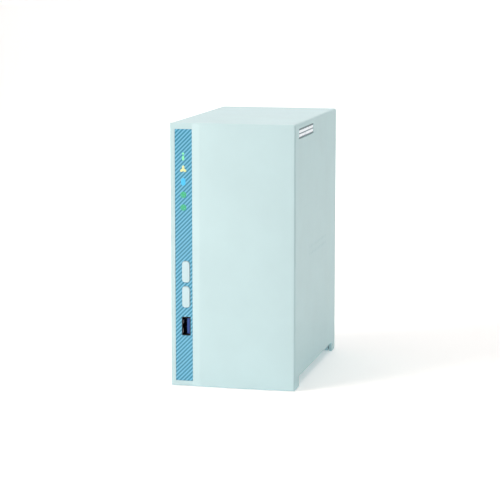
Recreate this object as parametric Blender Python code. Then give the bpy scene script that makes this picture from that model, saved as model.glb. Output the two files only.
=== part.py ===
"""A desktop network storage unit for two 3.5 inch drives, as an assembly of separate pieces.

Units are metres. +Z is up, -Y is the front, and the origin lies on the floor under the middle of the unit.
Each mesh object is one physical piece. Empties group the pieces that move together.
"""

import math

import bmesh
import bpy
from mathutils import Matrix, Vector

# ---------------------------------------------------------------- driving dimensions
WIDTH, DEPTH, HEIGHT = 0.09018, 0.15626, 0.18864
HALF_WIDTH, FRONT, BACK = WIDTH / 2, -DEPTH / 2, DEPTH / 2
TOUCH = 0.0003  # the gap that touching pieces keep
SLIP = 0.0004  # the clearance of pieces that slide on each other
OVERLAP = 0.0005  # how far shapes that are joined into one piece run into each other

# The sleeve-like cover and the shadow gap between it and the bezel
COVER_WALL = 0.0022
COVER_EDGE_RADIUS = 0.0012
SHADOW_GAP = 0.0008
BEZEL_RIM = 0.0030
COVER_FRONT = FRONT + BEZEL_RIM + SHADOW_GAP
SKIRT_Z = 0.0004  # lowest edge of the bezel and the cover, just off the floor
SIDE_EDGE_Z = 0.0076  # lower edge of the side walls between the feet
FRONT_FOOT_Y = FRONT + 0.0175
REAR_FOOT_Y = BACK - 0.0120
INNER_X = HALF_WIDTH - COVER_WALL
INNER_TOP = HEIGHT - COVER_WALL

# The nameplate in its recess on the right side wall
PLATE_Y = (FRONT + 0.0146, FRONT + 0.0664)
PLATE_Z = (0.1777, 0.1849)
PLATE_RECESS = 0.0009

# Front bezel: a column with a decor strip on the left, a slope, and the gently bowed panel on the right
PANEL_BOW = 0.0008
PANEL_SEGMENTS = 10
COLUMN_STEP = 0.0016
COLUMN_Y = FRONT + COLUMN_STEP
STRIP_X = (-HALF_WIDTH + 0.0036, -HALF_WIDTH + 0.0159)
STRIP_Z = (0.0041, 0.1843)
PANEL_X = -HALF_WIDTH + 0.0215
STRIP_THICKNESS = 0.0010
POCKET_DEPTH = 0.0013
POCKET_GAP = 0.00015
BEZEL_BACK = FRONT + 0.0042
LAP_BACK = FRONT + 0.0085
LAP_WALL = 0.0018
LAP_INSET = COVER_WALL + SLIP
LAP_BOTTOM = 0.0112

# Controls on the strip
LAMP_X = -HALF_WIDTH + 0.0096
LAMP_TOP_Z, LAMP_PITCH, LAMP_COUNT = 0.1649, 0.0090, 5
LAMP_HOLE = 0.0020
CONTROL_X = -HALF_WIDTH + 0.01125
BUTTON_SIZE = (0.0056, 0.0153)
BUTTON_RADIUS = 0.0022
BUTTON_Z = {"power": 0.0829, "copy": 0.0648}
BUTTON_GAP = 0.0002
BUTTON_PROUD = 0.0004
BUTTON_FLANGE = (0.0072, 0.0174)
USB_FRONT_Z = 0.0437
FRONT_BOARD_Y, FRONT_BOARD_THICKNESS = -0.0640, 0.0012
PLUNGER_RADIUS = 0.0016

# Base pan and feet
PAN_X = 0.0422
PAN_Z = (0.0086, 0.0106)
PAN_FLANGE_Z = 0.0150
FOOT_Z = 0.0006
FOOT_WIDTH = 0.0142
PAD_RADIUS, PAD_HEIGHT, PAD_POCKET = 0.0045, 0.0014, 0.0012

# Rear panel, recessed behind the cover's edge
REAR_FACE = BACK - 0.0055
REAR_INNER = REAR_FACE - 0.0020
REAR_X = 0.0425
REAR_Z = (0.0109, 0.1860)
REAR_RIM = 0.0015
REAR_RIM_DEPTH = 0.0060

# Fan
FAN_SIZE, FAN_DEPTH = 0.0800, 0.0250
FAN_X, FAN_Z = 0.0005, 0.1370
FAN_BACK = REAR_INNER - TOUCH
FAN_FRONT = FAN_BACK - FAN_DEPTH
FAN_BORE = 0.0380
FAN_HOLE_OFFSET = 0.03575
SHAFT_RADIUS, BEARING_RADIUS = 0.00150, 0.00158
BLADE_TIP = 0.0370
HUB_RADIUS, HUB_HOLLOW_RADIUS = 0.0165, 0.0140
SCREW_HEAD = (0.0034, 0.0018)  # radius and length
BLADES = 7
GRILLE_RADIUS = 0.0375
GRILLE_PITCH, GRILLE_HOLE = 0.0072, 0.0060

# Boards, drives and cage
BOARD_THICKNESS = 0.0016
MAIN_BOARD_X = -0.0373  # component face of the main board
MAIN_BOARD_Z = (0.0137, 0.0950)
DRIVE_SIZE = (0.0261, 0.1016, 0.1470)
DRIVE_X = (-0.0183, 0.0122)
DRIVE_Y, DRIVE_Z = -0.0620, 0.0220
DRIVE_LID = 0.0010
PLATTER_WELL = (0.0472, 0.0130)  # radius and depth
CAGE_X, CAGE_Y, CAGE_Z = (-0.0210, 0.0403), (-0.0600, 0.0380), (0.0165, 0.1500)
CAGE_SHEET = 0.0010
SATA_BOARD_Z = (0.0119, 0.0135)

# Rear sockets, bottom to top, all on the main board's edge
SOCKET_FACE = REAR_FACE + 0.0003
USB_SHELL = (0.0059, 0.0131, 0.0170)
USB_WALL = 0.00035
USB_X = CONTROL_X
DC_Z, USB2_Z, LAN_Z, USB3_Z, RESET_Z = 0.0215, 0.0385, 0.0590, 0.0790, 0.0908
LAN_SIZE = (0.0135, 0.0160, 0.0213)
DC_SIZE = (0.0110, 0.0095, 0.0140)
DC_WELL_RADIUS = 0.0033
LOCK_X, LOCK_Z = 0.0350, 0.0600
LOCK_SLOT = (0.0070, 0.0030)
COVER_SCREW_X, COVER_SCREW_Z = (-0.0280, 0.0300), 0.1813
COVER_SHANK_RADIUS = 0.0014

MATERIALS = {
    # name: (base colour, roughness, metallic)
    "body_plastic": ((0.60, 0.79, 0.81), 0.42, 0.0),
    "strip_blue": ((0.10, 0.38, 0.55), 0.30, 0.0),
    "button_plastic": ((0.68, 0.85, 0.86), 0.38, 0.0),
    "clear_acrylic": ((0.90, 0.95, 0.95), 0.10, 0.0),
    "steel": ((0.62, 0.63, 0.65), 0.30, 1.0),
    "zinc_sheet": ((0.55, 0.57, 0.58), 0.45, 1.0),
    "aluminium": ((0.72, 0.73, 0.74), 0.38, 1.0),
    "bright_metal": ((0.82, 0.84, 0.86), 0.15, 1.0),
    "board_green": ((0.03, 0.17, 0.09), 0.45, 0.0),
    "black_plastic": ((0.02, 0.02, 0.022), 0.45, 0.0),
    "usb_blue": ((0.02, 0.12, 0.48), 0.40, 0.0),
    "white_plastic": ((0.78, 0.78, 0.76), 0.45, 0.0),
    "rubber": ((0.05, 0.05, 0.05), 0.80, 0.0),
    "cable_sheath": ((0.03, 0.03, 0.03), 0.55, 0.0),
}


# ---------------------------------------------------------------- helpers
def clear_scene():
    for obj in list(bpy.data.objects):
        bpy.data.objects.remove(obj)


def material(name):
    """The named material, made the first time it is asked for."""
    if name in bpy.data.materials:
        return bpy.data.materials[name]
    colour, roughness, metallic = MATERIALS[name]
    made = bpy.data.materials.new(name)
    made.use_nodes = True
    shader = made.node_tree.nodes["Principled BSDF"]
    shader.inputs["Base Color"].default_value = (*colour, 1.0)
    shader.inputs["Roughness"].default_value = roughness
    shader.inputs["Metallic"].default_value = metallic
    made.diffuse_color = (*colour, 1.0)
    return made


def group(name, location=(0, 0, 0), parent=None):
    """An empty that carries the pieces of one moving group."""
    empty = bpy.data.objects.new(name, None)
    bpy.context.scene.collection.objects.link(empty)
    empty.parent = parent
    empty.location = location
    return empty


def place(bm, name, centre, parent, finish, smooth=False):
    """Makes an object from bm. centre is its place in the row frame, whatever its parent's place is."""
    bmesh.ops.recalc_face_normals(bm, faces=bm.faces)
    mesh = bpy.data.meshes.new(name)
    bm.to_mesh(mesh)
    bm.free()
    if smooth:
        mesh.shade_smooth()
        mesh.set_sharp_from_angle(angle=math.radians(35))
    obj = bpy.data.objects.new(name, mesh)
    bpy.context.scene.collection.objects.link(obj)
    obj.parent = parent
    obj.location = Vector(centre) - (parent.location if parent else Vector())
    if finish:
        mesh.materials.append(material(finish))
    return obj


def bevel(obj, width, segments=1, angle=30):
    modifier = obj.modifiers.new("edge_radius", "BEVEL")
    modifier.width = width
    modifier.segments = segments
    modifier.limit_method = "ANGLE"
    modifier.angle_limit = math.radians(angle)


def block(name, low, high, parent=None, finish=None, edge=0.0, segments=1):
    """A box between two corners in the row frame, with its edges rounded by edge."""
    low, high = Vector(low), Vector(high)
    bm = bmesh.new()
    bmesh.ops.create_cube(bm, size=1.0, matrix=Matrix.Diagonal((*(high - low), 1.0)))
    obj = place(bm, name, (low + high) / 2, parent, finish)
    if edge:
        bevel(obj, edge, segments)
    return obj


def turn_to(axis):
    """The matrix that takes (u, v, along) to X, Y, Z so that the third is along the named axis."""
    columns = {
        "X": ((0, 1, 0), (0, 0, 1), (1, 0, 0)),
        "Y": ((1, 0, 0), (0, 0, 1), (0, 1, 0)),
        "Z": ((1, 0, 0), (0, 1, 0), (0, 0, 1)),
    }[axis]
    return Matrix(columns).transposed().to_4x4()


def add_prism(bm, outline, length, axis="Z", offset=(0, 0, 0)):
    """Adds a closed prism to bm: outline is (u, v) points, half the length on each side along axis."""
    place_at = Matrix.Translation(Vector(offset)) @ turn_to(axis)
    ends = []
    for along in (-length / 2, length / 2):
        ends.append([bm.verts.new(place_at @ Vector((u, v, along))) for u, v in outline])
    low, high = ends
    bm.faces.new(low)
    bm.faces.new(high)
    for i in range(len(outline)):
        j = (i + 1) % len(outline)
        bm.faces.new((low[i], low[j], high[j], high[i]))


def prism(name, outline, length, axis, centre, parent=None, finish=None, smooth=False):
    bm = bmesh.new()
    add_prism(bm, outline, length, axis)
    return place(bm, name, centre, parent, finish, smooth)


def several(name, outlines, length, axis, centre):
    """A cutter or an addition made of many prisms of one length."""
    bm = bmesh.new()
    for outline in outlines:
        add_prism(bm, outline, length, axis)
    return helper(place(bm, name, centre, None, None))


def circle(radius, sides, u=0.0, v=0.0, turn=0.0):
    angles = [turn + 2 * math.pi * i / sides for i in range(sides)]
    return [(u + radius * math.cos(a), v + radius * math.sin(a)) for a in angles]


def rounded(width, height, radius, steps=4, u=0.0, v=0.0):
    """A rectangle with round corners, as an outline centred on (u, v)."""
    points = []
    for quarter, (su, sv) in enumerate(((1, 1), (-1, 1), (-1, -1), (1, -1))):
        cu = u + su * (width / 2 - radius)
        cv = v + sv * (height / 2 - radius)
        for i in range(steps + 1):
            angle = math.pi / 2 * (quarter + i / steps)
            points.append((cu + radius * math.cos(angle), cv + radius * math.sin(angle)))
    return points


def rectangle(low_u, low_v, high_u, high_v):
    return [(low_u, low_v), (high_u, low_v), (high_u, high_v), (low_u, high_v)]


def cylinder(name, centre, radius, length, axis, parent=None, finish=None, sides=24):
    return prism(name, circle(radius, sides), length, axis, centre, parent, finish, smooth=True)


def helper(obj):
    obj.hide_render = True
    obj.display_type = "WIRE"
    return obj


def boolean(obj, other, operation):
    helper(other)
    modifier = obj.modifiers.new(operation.lower() + "_" + other.name, "BOOLEAN")
    modifier.operation = operation
    modifier.solver = "EXACT"
    modifier.object = other
    return obj


def cut(obj, *cutters):
    for cutter in cutters:
        boolean(obj, cutter, "DIFFERENCE")
    return obj


def join(obj, *additions):
    for addition in additions:
        boolean(obj, addition, "UNION")
    return obj


# ---------------------------------------------------------------- cover
def make_cover(parent):
    """The U-shaped cover: both side walls, the top and two screw tabs, with a foot at each lower corner."""
    outer = [(HALF_WIDTH, SKIRT_Z)]
    radius, steps = COVER_EDGE_RADIUS, 4
    for side, start in ((1, 0.0), (-1, math.pi / 2)):
        for i in range(steps + 1):
            angle = start + math.pi / 2 * i / steps
            u = side * (HALF_WIDTH - radius) + radius * math.cos(angle)
            outer.append((u, HEIGHT - radius + radius * math.sin(angle)))
    outer.append((-HALF_WIDTH, SKIRT_Z))
    inner = [(-INNER_X, SKIRT_Z), (-INNER_X, INNER_TOP), (INNER_X, INNER_TOP), (INNER_X, SKIRT_Z)]
    middle_y = (COVER_FRONT + BACK) / 2
    length = BACK - COVER_FRONT
    cover = prism("outer_cover", outer + inner, length, "Y", (0, middle_y, 0), parent, "body_plastic")

    notch_length = REAR_FOOT_Y - FRONT_FOOT_Y
    notch = rounded(notch_length, 2 * SIDE_EDGE_Z, 0.0015)
    notch_y = (REAR_FOOT_Y + FRONT_FOOT_Y) / 2
    cut(cover, prism("cover_notch_cutter", notch, 2 * WIDTH, "X", (0, notch_y, 0)))

    recess_low = (HALF_WIDTH - PLATE_RECESS, PLATE_Y[0], PLATE_Z[0])
    cut(cover, block("nameplate_recess_cutter", recess_low, (WIDTH, PLATE_Y[1], PLATE_Z[1])))

    for number, x in enumerate(COVER_SCREW_X, 1):
        low = (x - 0.0065, REAR_FACE + TOUCH, COVER_SCREW_Z - 0.0042)
        high = (x + 0.0065, REAR_FACE + TOUCH + 0.0018, INNER_TOP + OVERLAP)
        join(cover, block(f"cover_tab_{number}_body", low, high))
    holes = [circle(0.0018, 16, x, COVER_SCREW_Z) for x in COVER_SCREW_X]
    cut(cover, several("cover_tab_hole_cutter", holes, 0.012, "Y", (0, REAR_FACE + 0.001, 0)))
    return cover


def make_nameplate(parent):
    """A blank metal plate with two raised bars, lying in the recess of the right wall."""
    slack = 0.0002
    base_x = HALF_WIDTH - PLATE_RECESS + 0.0001
    low = (base_x, PLATE_Y[0] + slack, PLATE_Z[0] + slack)
    high = (base_x + 0.0004, PLATE_Y[1] - slack, PLATE_Z[1] - slack)
    plate = block("nameplate", low, high, parent, "bright_metal")
    middle_z = (PLATE_Z[0] + PLATE_Z[1]) / 2
    for number, offset in enumerate((-0.00145, 0.00145), 1):
        bar_low = (base_x + 0.0002, PLATE_Y[0] + 0.0006, middle_z + offset - 0.0008)
        bar_high = (base_x + 0.0007, PLATE_Y[1] - 0.0006, middle_z + offset + 0.0008)
        join(plate, block(f"nameplate_bar_{number}_body", bar_low, bar_high))


def make_cover_screws(parent):
    """Two captive thumbscrews. Each is one piece: a knurled head and a plain shank."""
    for side, x in zip(("left", "right"), COVER_SCREW_X):
        head_y = REAR_FACE + TOUCH + 0.0018 + 0.0001
        head_length = BACK - 0.0002 - head_y
        teeth = [
            (r * math.cos(a), r * math.sin(a))
            for i in range(20)
            for r, a in ((0.0036, 2 * math.pi * i / 20), (0.0033, 2 * math.pi * (i + 0.5) / 20))
        ]
        centre = (x, head_y + head_length / 2, COVER_SCREW_Z)
        head = prism(f"cover_screw_{side}", teeth, head_length, "Y", centre, parent, "steel")
        shank_end = REAR_INNER - 0.0030
        shank_length = head_y + OVERLAP - shank_end
        shank_centre = (x, shank_end + shank_length / 2, COVER_SCREW_Z)
        shank_name = f"cover_screw_{side}_shank_body"
        join(head, cylinder(shank_name, shank_centre, COVER_SHANK_RADIUS, shank_length, "Y", sides=16))
        slot_low = (x - 0.0030, head_y + head_length - 0.0010, COVER_SCREW_Z - 0.0005)
        slot_high = (x + 0.0030, BACK + 0.0010, COVER_SCREW_Z + 0.0005)
        cut(head, block(f"cover_screw_{side}_slot_cutter", slot_low, slot_high))


# ---------------------------------------------------------------- front
def lamp_heights():
    return [LAMP_TOP_Z - i * LAMP_PITCH for i in range(LAMP_COUNT)]


def make_bezel(parent):
    """The front: a plate with a set-back column on the left, and a lap behind it inside the cover's edge."""
    face = [(-HALF_WIDTH, FRONT + BEZEL_RIM), (-HALF_WIDTH, COLUMN_Y), (STRIP_X[1] + 0.0002, COLUMN_Y)]
    for i in range(PANEL_SEGMENTS + 1):
        across = i / PANEL_SEGMENTS
        bow = PANEL_BOW * (2 * across - 1) ** 2
        face.append((PANEL_X + across * (HALF_WIDTH - PANEL_X), FRONT + bow))
    face.append((HALF_WIDTH, FRONT + BEZEL_RIM))
    middle_z = (HEIGHT + SKIRT_Z) / 2
    bezel = prism("front_bezel", face, HEIGHT - SKIRT_Z, "Z", (0, 0, middle_z), parent, "body_plastic")
    bevel(bezel, 0.0004, 2)

    lap_x, lap_top = HALF_WIDTH - LAP_INSET, HEIGHT - LAP_INSET
    lap = block(
        "bezel_lap_body",
        (-lap_x, FRONT + BEZEL_RIM - OVERLAP, LAP_BOTTOM),
        (lap_x, LAP_BACK, lap_top),
    )
    hollow = block(
        "bezel_hollow_cutter",
        (-lap_x + LAP_WALL, BEZEL_BACK, LAP_BOTTOM + LAP_WALL),
        (lap_x - LAP_WALL, LAP_BACK + 0.001, lap_top - LAP_WALL),
    )
    join(bezel, lap)
    cut(bezel, hollow)

    pocket = block(
        "strip_pocket_cutter",
        (STRIP_X[0] - POCKET_GAP, FRONT - 0.001, STRIP_Z[0] - POCKET_GAP),
        (STRIP_X[1] + POCKET_GAP, COLUMN_Y + POCKET_DEPTH, STRIP_Z[1] + POCKET_GAP),
    )
    window_z = (BUTTON_Z["power"] + BUTTON_Z["copy"]) / 2
    window_height = BUTTON_Z["power"] - BUTTON_Z["copy"] + BUTTON_FLANGE[1] + 0.0008
    through = [
        rounded(BUTTON_FLANGE[0] + 0.0006, window_height, 0.0010, 2, CONTROL_X, window_z),
        rounded(USB_SHELL[0] + 0.0008, USB_SHELL[1] + 0.0008, 0.0004, 2, CONTROL_X, USB_FRONT_Z),
    ] + [circle(LAMP_HOLE, 16, LAMP_X, z) for z in lamp_heights()]
    cut(bezel, pocket, several("bezel_through_cutter", through, 0.02, "Y", (0, FRONT, 0)))


def make_strip(parent):
    """The decor strip: a flat plate with openings for the two buttons and the socket."""
    width, height = STRIP_X[1] - STRIP_X[0], STRIP_Z[1] - STRIP_Z[0]
    centre = (sum(STRIP_X) / 2, COLUMN_Y + 0.0001 + STRIP_THICKNESS / 2, sum(STRIP_Z) / 2)
    outline = rounded(width, height, 0.0003, 2)
    strip = prism("decor_strip", outline, STRIP_THICKNESS, "Y", centre, parent, "strip_blue")
    gap = 2 * BUTTON_GAP
    openings = [
        rounded(BUTTON_SIZE[0] + gap, BUTTON_SIZE[1] + gap, BUTTON_RADIUS + BUTTON_GAP, 5, CONTROL_X, z)
        for z in BUTTON_Z.values()
    ]
    openings.append(rounded(USB_SHELL[0] + 0.0005, USB_SHELL[1] + 0.0005, 0.0003, 2, CONTROL_X, USB_FRONT_Z))
    cut(strip, several("strip_opening_cutter", openings, 0.006, "Y", (0, COLUMN_Y, 0)))


def make_button(name, parent):
    """A pill-shaped cap with a retaining flange and a stem, and the plunger of the switch behind it."""
    z = BUTTON_Z[name]
    axis = group(f"{name}_button_axis", (CONTROL_X, COLUMN_Y, z), parent)
    strip_back = COLUMN_Y + 0.0001 + STRIP_THICKNESS
    cap_front, flange_front = COLUMN_Y - BUTTON_PROUD, strip_back + TOUCH
    flange_back, stem_back = flange_front + 0.0008, FRONT_BOARD_Y - 0.0051
    pill = rounded(*BUTTON_SIZE, BUTTON_RADIUS, 5)
    cap_length = flange_front + OVERLAP - cap_front
    cap_centre = (CONTROL_X, cap_front + cap_length / 2, z)
    cap = prism(f"{name}_button", pill, cap_length, "Y", cap_centre, axis, "button_plastic", smooth=True)
    bevel(cap, 0.0003, 1, 50)
    flange = prism(
        f"{name}_button_flange_body",
        rounded(*BUTTON_FLANGE, 0.0008, 1),
        flange_back - flange_front,
        "Y",
        (CONTROL_X, (flange_front + flange_back) / 2, z),
    )
    stem_front = flange_back - OVERLAP
    stem_centre = (CONTROL_X, (stem_front + stem_back) / 2, z)
    stem = cylinder(f"{name}_button_stem_body", stem_centre, 0.0017, stem_back - stem_front, "Y", sides=12)
    join(cap, flange, stem)
    plunger_front, plunger_back = stem_back + 0.0001, FRONT_BOARD_Y - 0.0020
    plunger_centre = (CONTROL_X, (plunger_front + plunger_back) / 2, z)
    plunger_length = plunger_back - plunger_front
    plunger_name = f"{name}_switch_plunger"
    cylinder(plunger_name, plunger_centre, PLUNGER_RADIUS, plunger_length, "Y", axis, "black_plastic", 16)


def make_front_board(parent):
    """The board behind the strip, with its two push switches and the light guide."""
    face = FRONT_BOARD_Y
    low, high = (-0.0414, face, 0.0545), (-0.0285, face + FRONT_BOARD_THICKNESS, 0.1725)
    block("front_board", low, high, parent, "board_green", 0.0003)
    for name, z in BUTTON_Z.items():
        low = (CONTROL_X - 0.0030, face - 0.0035, z - 0.0030)
        high = (CONTROL_X + 0.0030, face - 0.0002, z + 0.0030)
        switch = block(f"{name}_switch", low, high, parent, "black_plastic", 0.0003)
        bore_centre = (CONTROL_X, face - 0.0025, z)
        bore_radius = PLUNGER_RADIUS + TOUCH
        cut(switch, cylinder(f"{name}_switch_bore_cutter", bore_centre, bore_radius, 0.0026, "Y", sides=16))

    spine = block(
        "light_guide",
        (LAMP_X - 0.0020, face - 0.0070, LAMP_TOP_Z - (LAMP_COUNT - 1) * LAMP_PITCH - 0.0025),
        (LAMP_X + 0.0020, face - 0.0052, LAMP_TOP_Z + 0.0025),
        parent,
        "clear_acrylic",
    )
    prong_front, prong_back = COLUMN_Y + POCKET_DEPTH + 0.0001, face - 0.0008
    prongs = [circle(0.0015, 8, LAMP_X, z) for z in lamp_heights()]
    middle = (prong_front + prong_back) / 2
    join(spine, several("light_guide_prong_body", prongs, prong_back - prong_front, "Y", (0, middle, 0)))


# ---------------------------------------------------------------- sockets
def make_usb_socket(name, centre_z, mouth_y, inward, tongue_finish, parent):
    """An upright type A socket: a folded steel shell with a plastic tongue on its +X side.

    inward is +1 where the socket runs towards +Y from its mouth, and -1 where it runs towards -Y.
    """
    width, height, length = USB_SHELL
    middle_y = mouth_y + inward * length / 2
    outline = rounded(width, height, 0.0005, 1)
    shell = prism(f"{name}_shell", outline, length, "Y", (USB_X, middle_y, centre_z), parent, "steel")
    bore = rounded(width - 2 * USB_WALL, height - 2 * USB_WALL, 0.0003, 1)
    bore_y = middle_y - inward * USB_WALL
    cut(shell, prism(f"{name}_bore_cutter", bore, length, "Y", (USB_X, bore_y, centre_z)))

    inner_right = USB_X + width / 2 - USB_WALL
    tongue_y = sorted((mouth_y + inward * 0.0013, mouth_y + inward * (length - 0.0012)))
    tongue = block(
        f"{name}_tongue",
        (inner_right - 0.0006 - 0.0019, tongue_y[0], centre_z - 0.0055),
        (inner_right - 0.0006, tongue_y[1], centre_z + 0.0055),
        parent,
        tongue_finish,
        0.0002,
    )
    root_y = sorted((mouth_y + inward * (length - 0.0040), mouth_y + inward * (length - 0.0008)))
    root = block(
        f"{name}_tongue_root_body",
        (USB_X - width / 2 + USB_WALL + 0.0002, root_y[0], centre_z - height / 2 + USB_WALL + 0.0002),
        (inner_right - 0.0002, root_y[1], centre_z + height / 2 - USB_WALL - 0.0002),
    )
    join(tongue, root)


def make_lan_socket(parent):
    """The network socket, on its side: a block with a stepped cavity for the plug and its latch."""
    width, height, length = LAN_SIZE
    low_x = MAIN_BOARD_X + 0.0003
    socket = block(
        "lan_socket",
        (low_x, SOCKET_FACE - length, LAN_Z - height / 2),
        (low_x + width, SOCKET_FACE, LAN_Z + height / 2),
        parent,
        "steel",
        0.0004,
    )
    cavity = [
        rectangle(low_x + 0.0018, LAN_Z - 0.0059, low_x + 0.0088, LAN_Z + 0.0059),
        rectangle(low_x + 0.0086, LAN_Z - 0.0032, low_x + 0.0105, LAN_Z + 0.0032),
    ]
    depth = 0.0175
    cutter = several("lan_cavity_cutter", cavity[:1], depth, "Y", (0, SOCKET_FACE - depth / 2 + 0.001, 0))
    latch = several("lan_latch_cutter", cavity[1:], depth, "Y", (0, SOCKET_FACE - depth / 2 + 0.001, 0))
    cut(socket, cutter, latch)


def make_power_socket(parent):
    """The low-voltage power socket: a body with a round well, and its centre pin."""
    width, height, length = DC_SIZE
    low_x = MAIN_BOARD_X + 0.0003
    centre_x = low_x + width / 2
    body = block(
        "power_socket",
        (low_x, SOCKET_FACE - length, DC_Z - height / 2),
        (low_x + width, SOCKET_FACE, DC_Z + height / 2),
        parent,
        "black_plastic",
        0.0004,
    )
    well_depth = 0.0100
    well_y = SOCKET_FACE - well_depth / 2 + 0.001
    well_centre = (centre_x, well_y, DC_Z)
    cut(body, cylinder("power_well_cutter", well_centre, DC_WELL_RADIUS, well_depth + 0.002, "Y", sides=20))
    pin_back, pin_front = SOCKET_FACE - 0.0007, SOCKET_FACE - well_depth + 0.0004
    pin_centre = (centre_x, (pin_back + pin_front) / 2, DC_Z)
    cylinder("power_socket_pin", pin_centre, 0.0010, pin_back - pin_front, "Y", parent, "bright_metal", 12)


def make_reset(parent):
    """The recessed reset switch and the plunger that a pin pushes."""
    x = MAIN_BOARD_X + 0.0032
    body = block(
        "reset_switch",
        (MAIN_BOARD_X + 0.0003, REAR_INNER - 0.0062, RESET_Z - 0.0030),
        (MAIN_BOARD_X + 0.0062, REAR_INNER - 0.0022, RESET_Z + 0.0030),
        parent,
        "black_plastic",
        0.0003,
    )
    bore_centre = (x, REAR_INNER - 0.0030, RESET_Z)
    cut(body, cylinder("reset_bore_cutter", bore_centre, 0.0012, 0.0036, "Y", sides=12))
    axis = group("reset_axis", (x, REAR_INNER, RESET_Z), parent)
    low_y, high_y = REAR_INNER - 0.0042, REAR_INNER + 0.0007
    plunger_centre = (x, (low_y + high_y) / 2, RESET_Z)
    cylinder("reset_plunger", plunger_centre, 0.0009, high_y - low_y, "Y", axis, "white_plastic", 12)


# ---------------------------------------------------------------- base and rear
def make_base(parent):
    """The base pan with its flanges, four feet and air slots, and a rubber pad under each foot."""
    low_y, high_y = FRONT + BEZEL_RIM + TOUCH, BACK - 0.0005
    flange = 0.0015
    section = [
        (-PAN_X, PAN_Z[0]),
        (PAN_X, PAN_Z[0]),
        (PAN_X, PAN_FLANGE_Z),
        (PAN_X - flange, PAN_FLANGE_Z),
        (PAN_X - flange, PAN_Z[1]),
        (-PAN_X + flange, PAN_Z[1]),
        (-PAN_X + flange, PAN_FLANGE_Z),
        (-PAN_X, PAN_FLANGE_Z),
    ]
    centre = (0, (low_y + high_y) / 2, 0)
    pan = prism("base_pan", section, high_y - low_y, "Y", centre, parent, "body_plastic")
    # The bezel's lap and the rear panel's edges stand outside the flanges' ends.
    clearances = ((low_y - 0.001, LAP_BACK + SLIP), (REAR_INNER - REAR_RIM_DEPTH - SLIP, high_y + 0.001))
    for number, (start, end) in enumerate(clearances, 1):
        relief = ((-WIDTH, start, PAN_Z[1]), (WIDTH, end, PAN_FLANGE_Z + 0.001))
        cut(pan, block(f"pan_flange_relief_{number}_cutter", *relief))

    feet = (
        ("front", low_y, FRONT_FOOT_Y - 0.0004),
        ("rear", REAR_FOOT_Y + 0.0001, high_y),
    )
    sides = (("left", -1), ("right", 1))
    for end, start_y, end_y in feet:
        for side, sign in sides:
            x = sorted((sign * PAN_X, sign * (PAN_X - FOOT_WIDTH)))
            foot = block(
                f"foot_{end}_{side}_body",
                (x[0], start_y, FOOT_Z),
                (x[1], end_y, PAN_Z[0] + OVERLAP),
                edge=0.0004,
            )
            join(pan, foot)
            centre = (sign * (PAN_X - FOOT_WIDTH / 2), (start_y + end_y) / 2)
            pocket = (*centre, FOOT_Z + PAD_POCKET / 2 - 0.0005)
            pocket_radius, pocket_length = PAD_RADIUS + 0.0002, PAD_POCKET + 0.001
            cut(pan, cylinder(f"pad_{end}_{side}_cutter", pocket, pocket_radius, pocket_length, "Z"))
            pad_centre = (*centre, PAD_HEIGHT / 2)
            cylinder(f"foot_pad_{end}_{side}", pad_centre, PAD_RADIUS, PAD_HEIGHT, "Z", parent, "rubber")

    slots = []
    for row_y in (-0.030, 0.020):
        for i in range(9):
            slots.append(rounded(0.0030, 0.0340, 0.0014, 2, -0.0320 + 0.0080 * i, row_y))
    cut(pan, several("base_slot_cutter", slots, 0.02, "Z", (0, 0, PAN_Z[0])))


def grille_holes():
    """Hexagons on a honeycomb grid, kept inside the grille's circle and clear of its edge."""
    step_x, step_z = GRILLE_PITCH, GRILLE_PITCH * math.sqrt(3) / 2
    rows = int(GRILLE_RADIUS / step_z) + 1
    holes = []
    for row in range(-rows, rows + 1):
        for column in range(-rows, rows + 1):
            x = (column + 0.5 * (row % 2)) * step_x
            z = row * step_z
            if math.hypot(x, z) <= GRILLE_RADIUS - GRILLE_HOLE / 2:
                holes.append(circle(GRILLE_HOLE / math.sqrt(3), 6, FAN_X + x, FAN_Z + z, math.pi / 6))
    return holes


def fan_screw_places():
    return [
        (f"{level}_{side}", FAN_X + sx * FAN_HOLE_OFFSET, FAN_Z + sz * FAN_HOLE_OFFSET)
        for level, sz in (("lower", -1), ("upper", 1))
        for side, sx in (("left", -1), ("right", 1))
    ]


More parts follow.
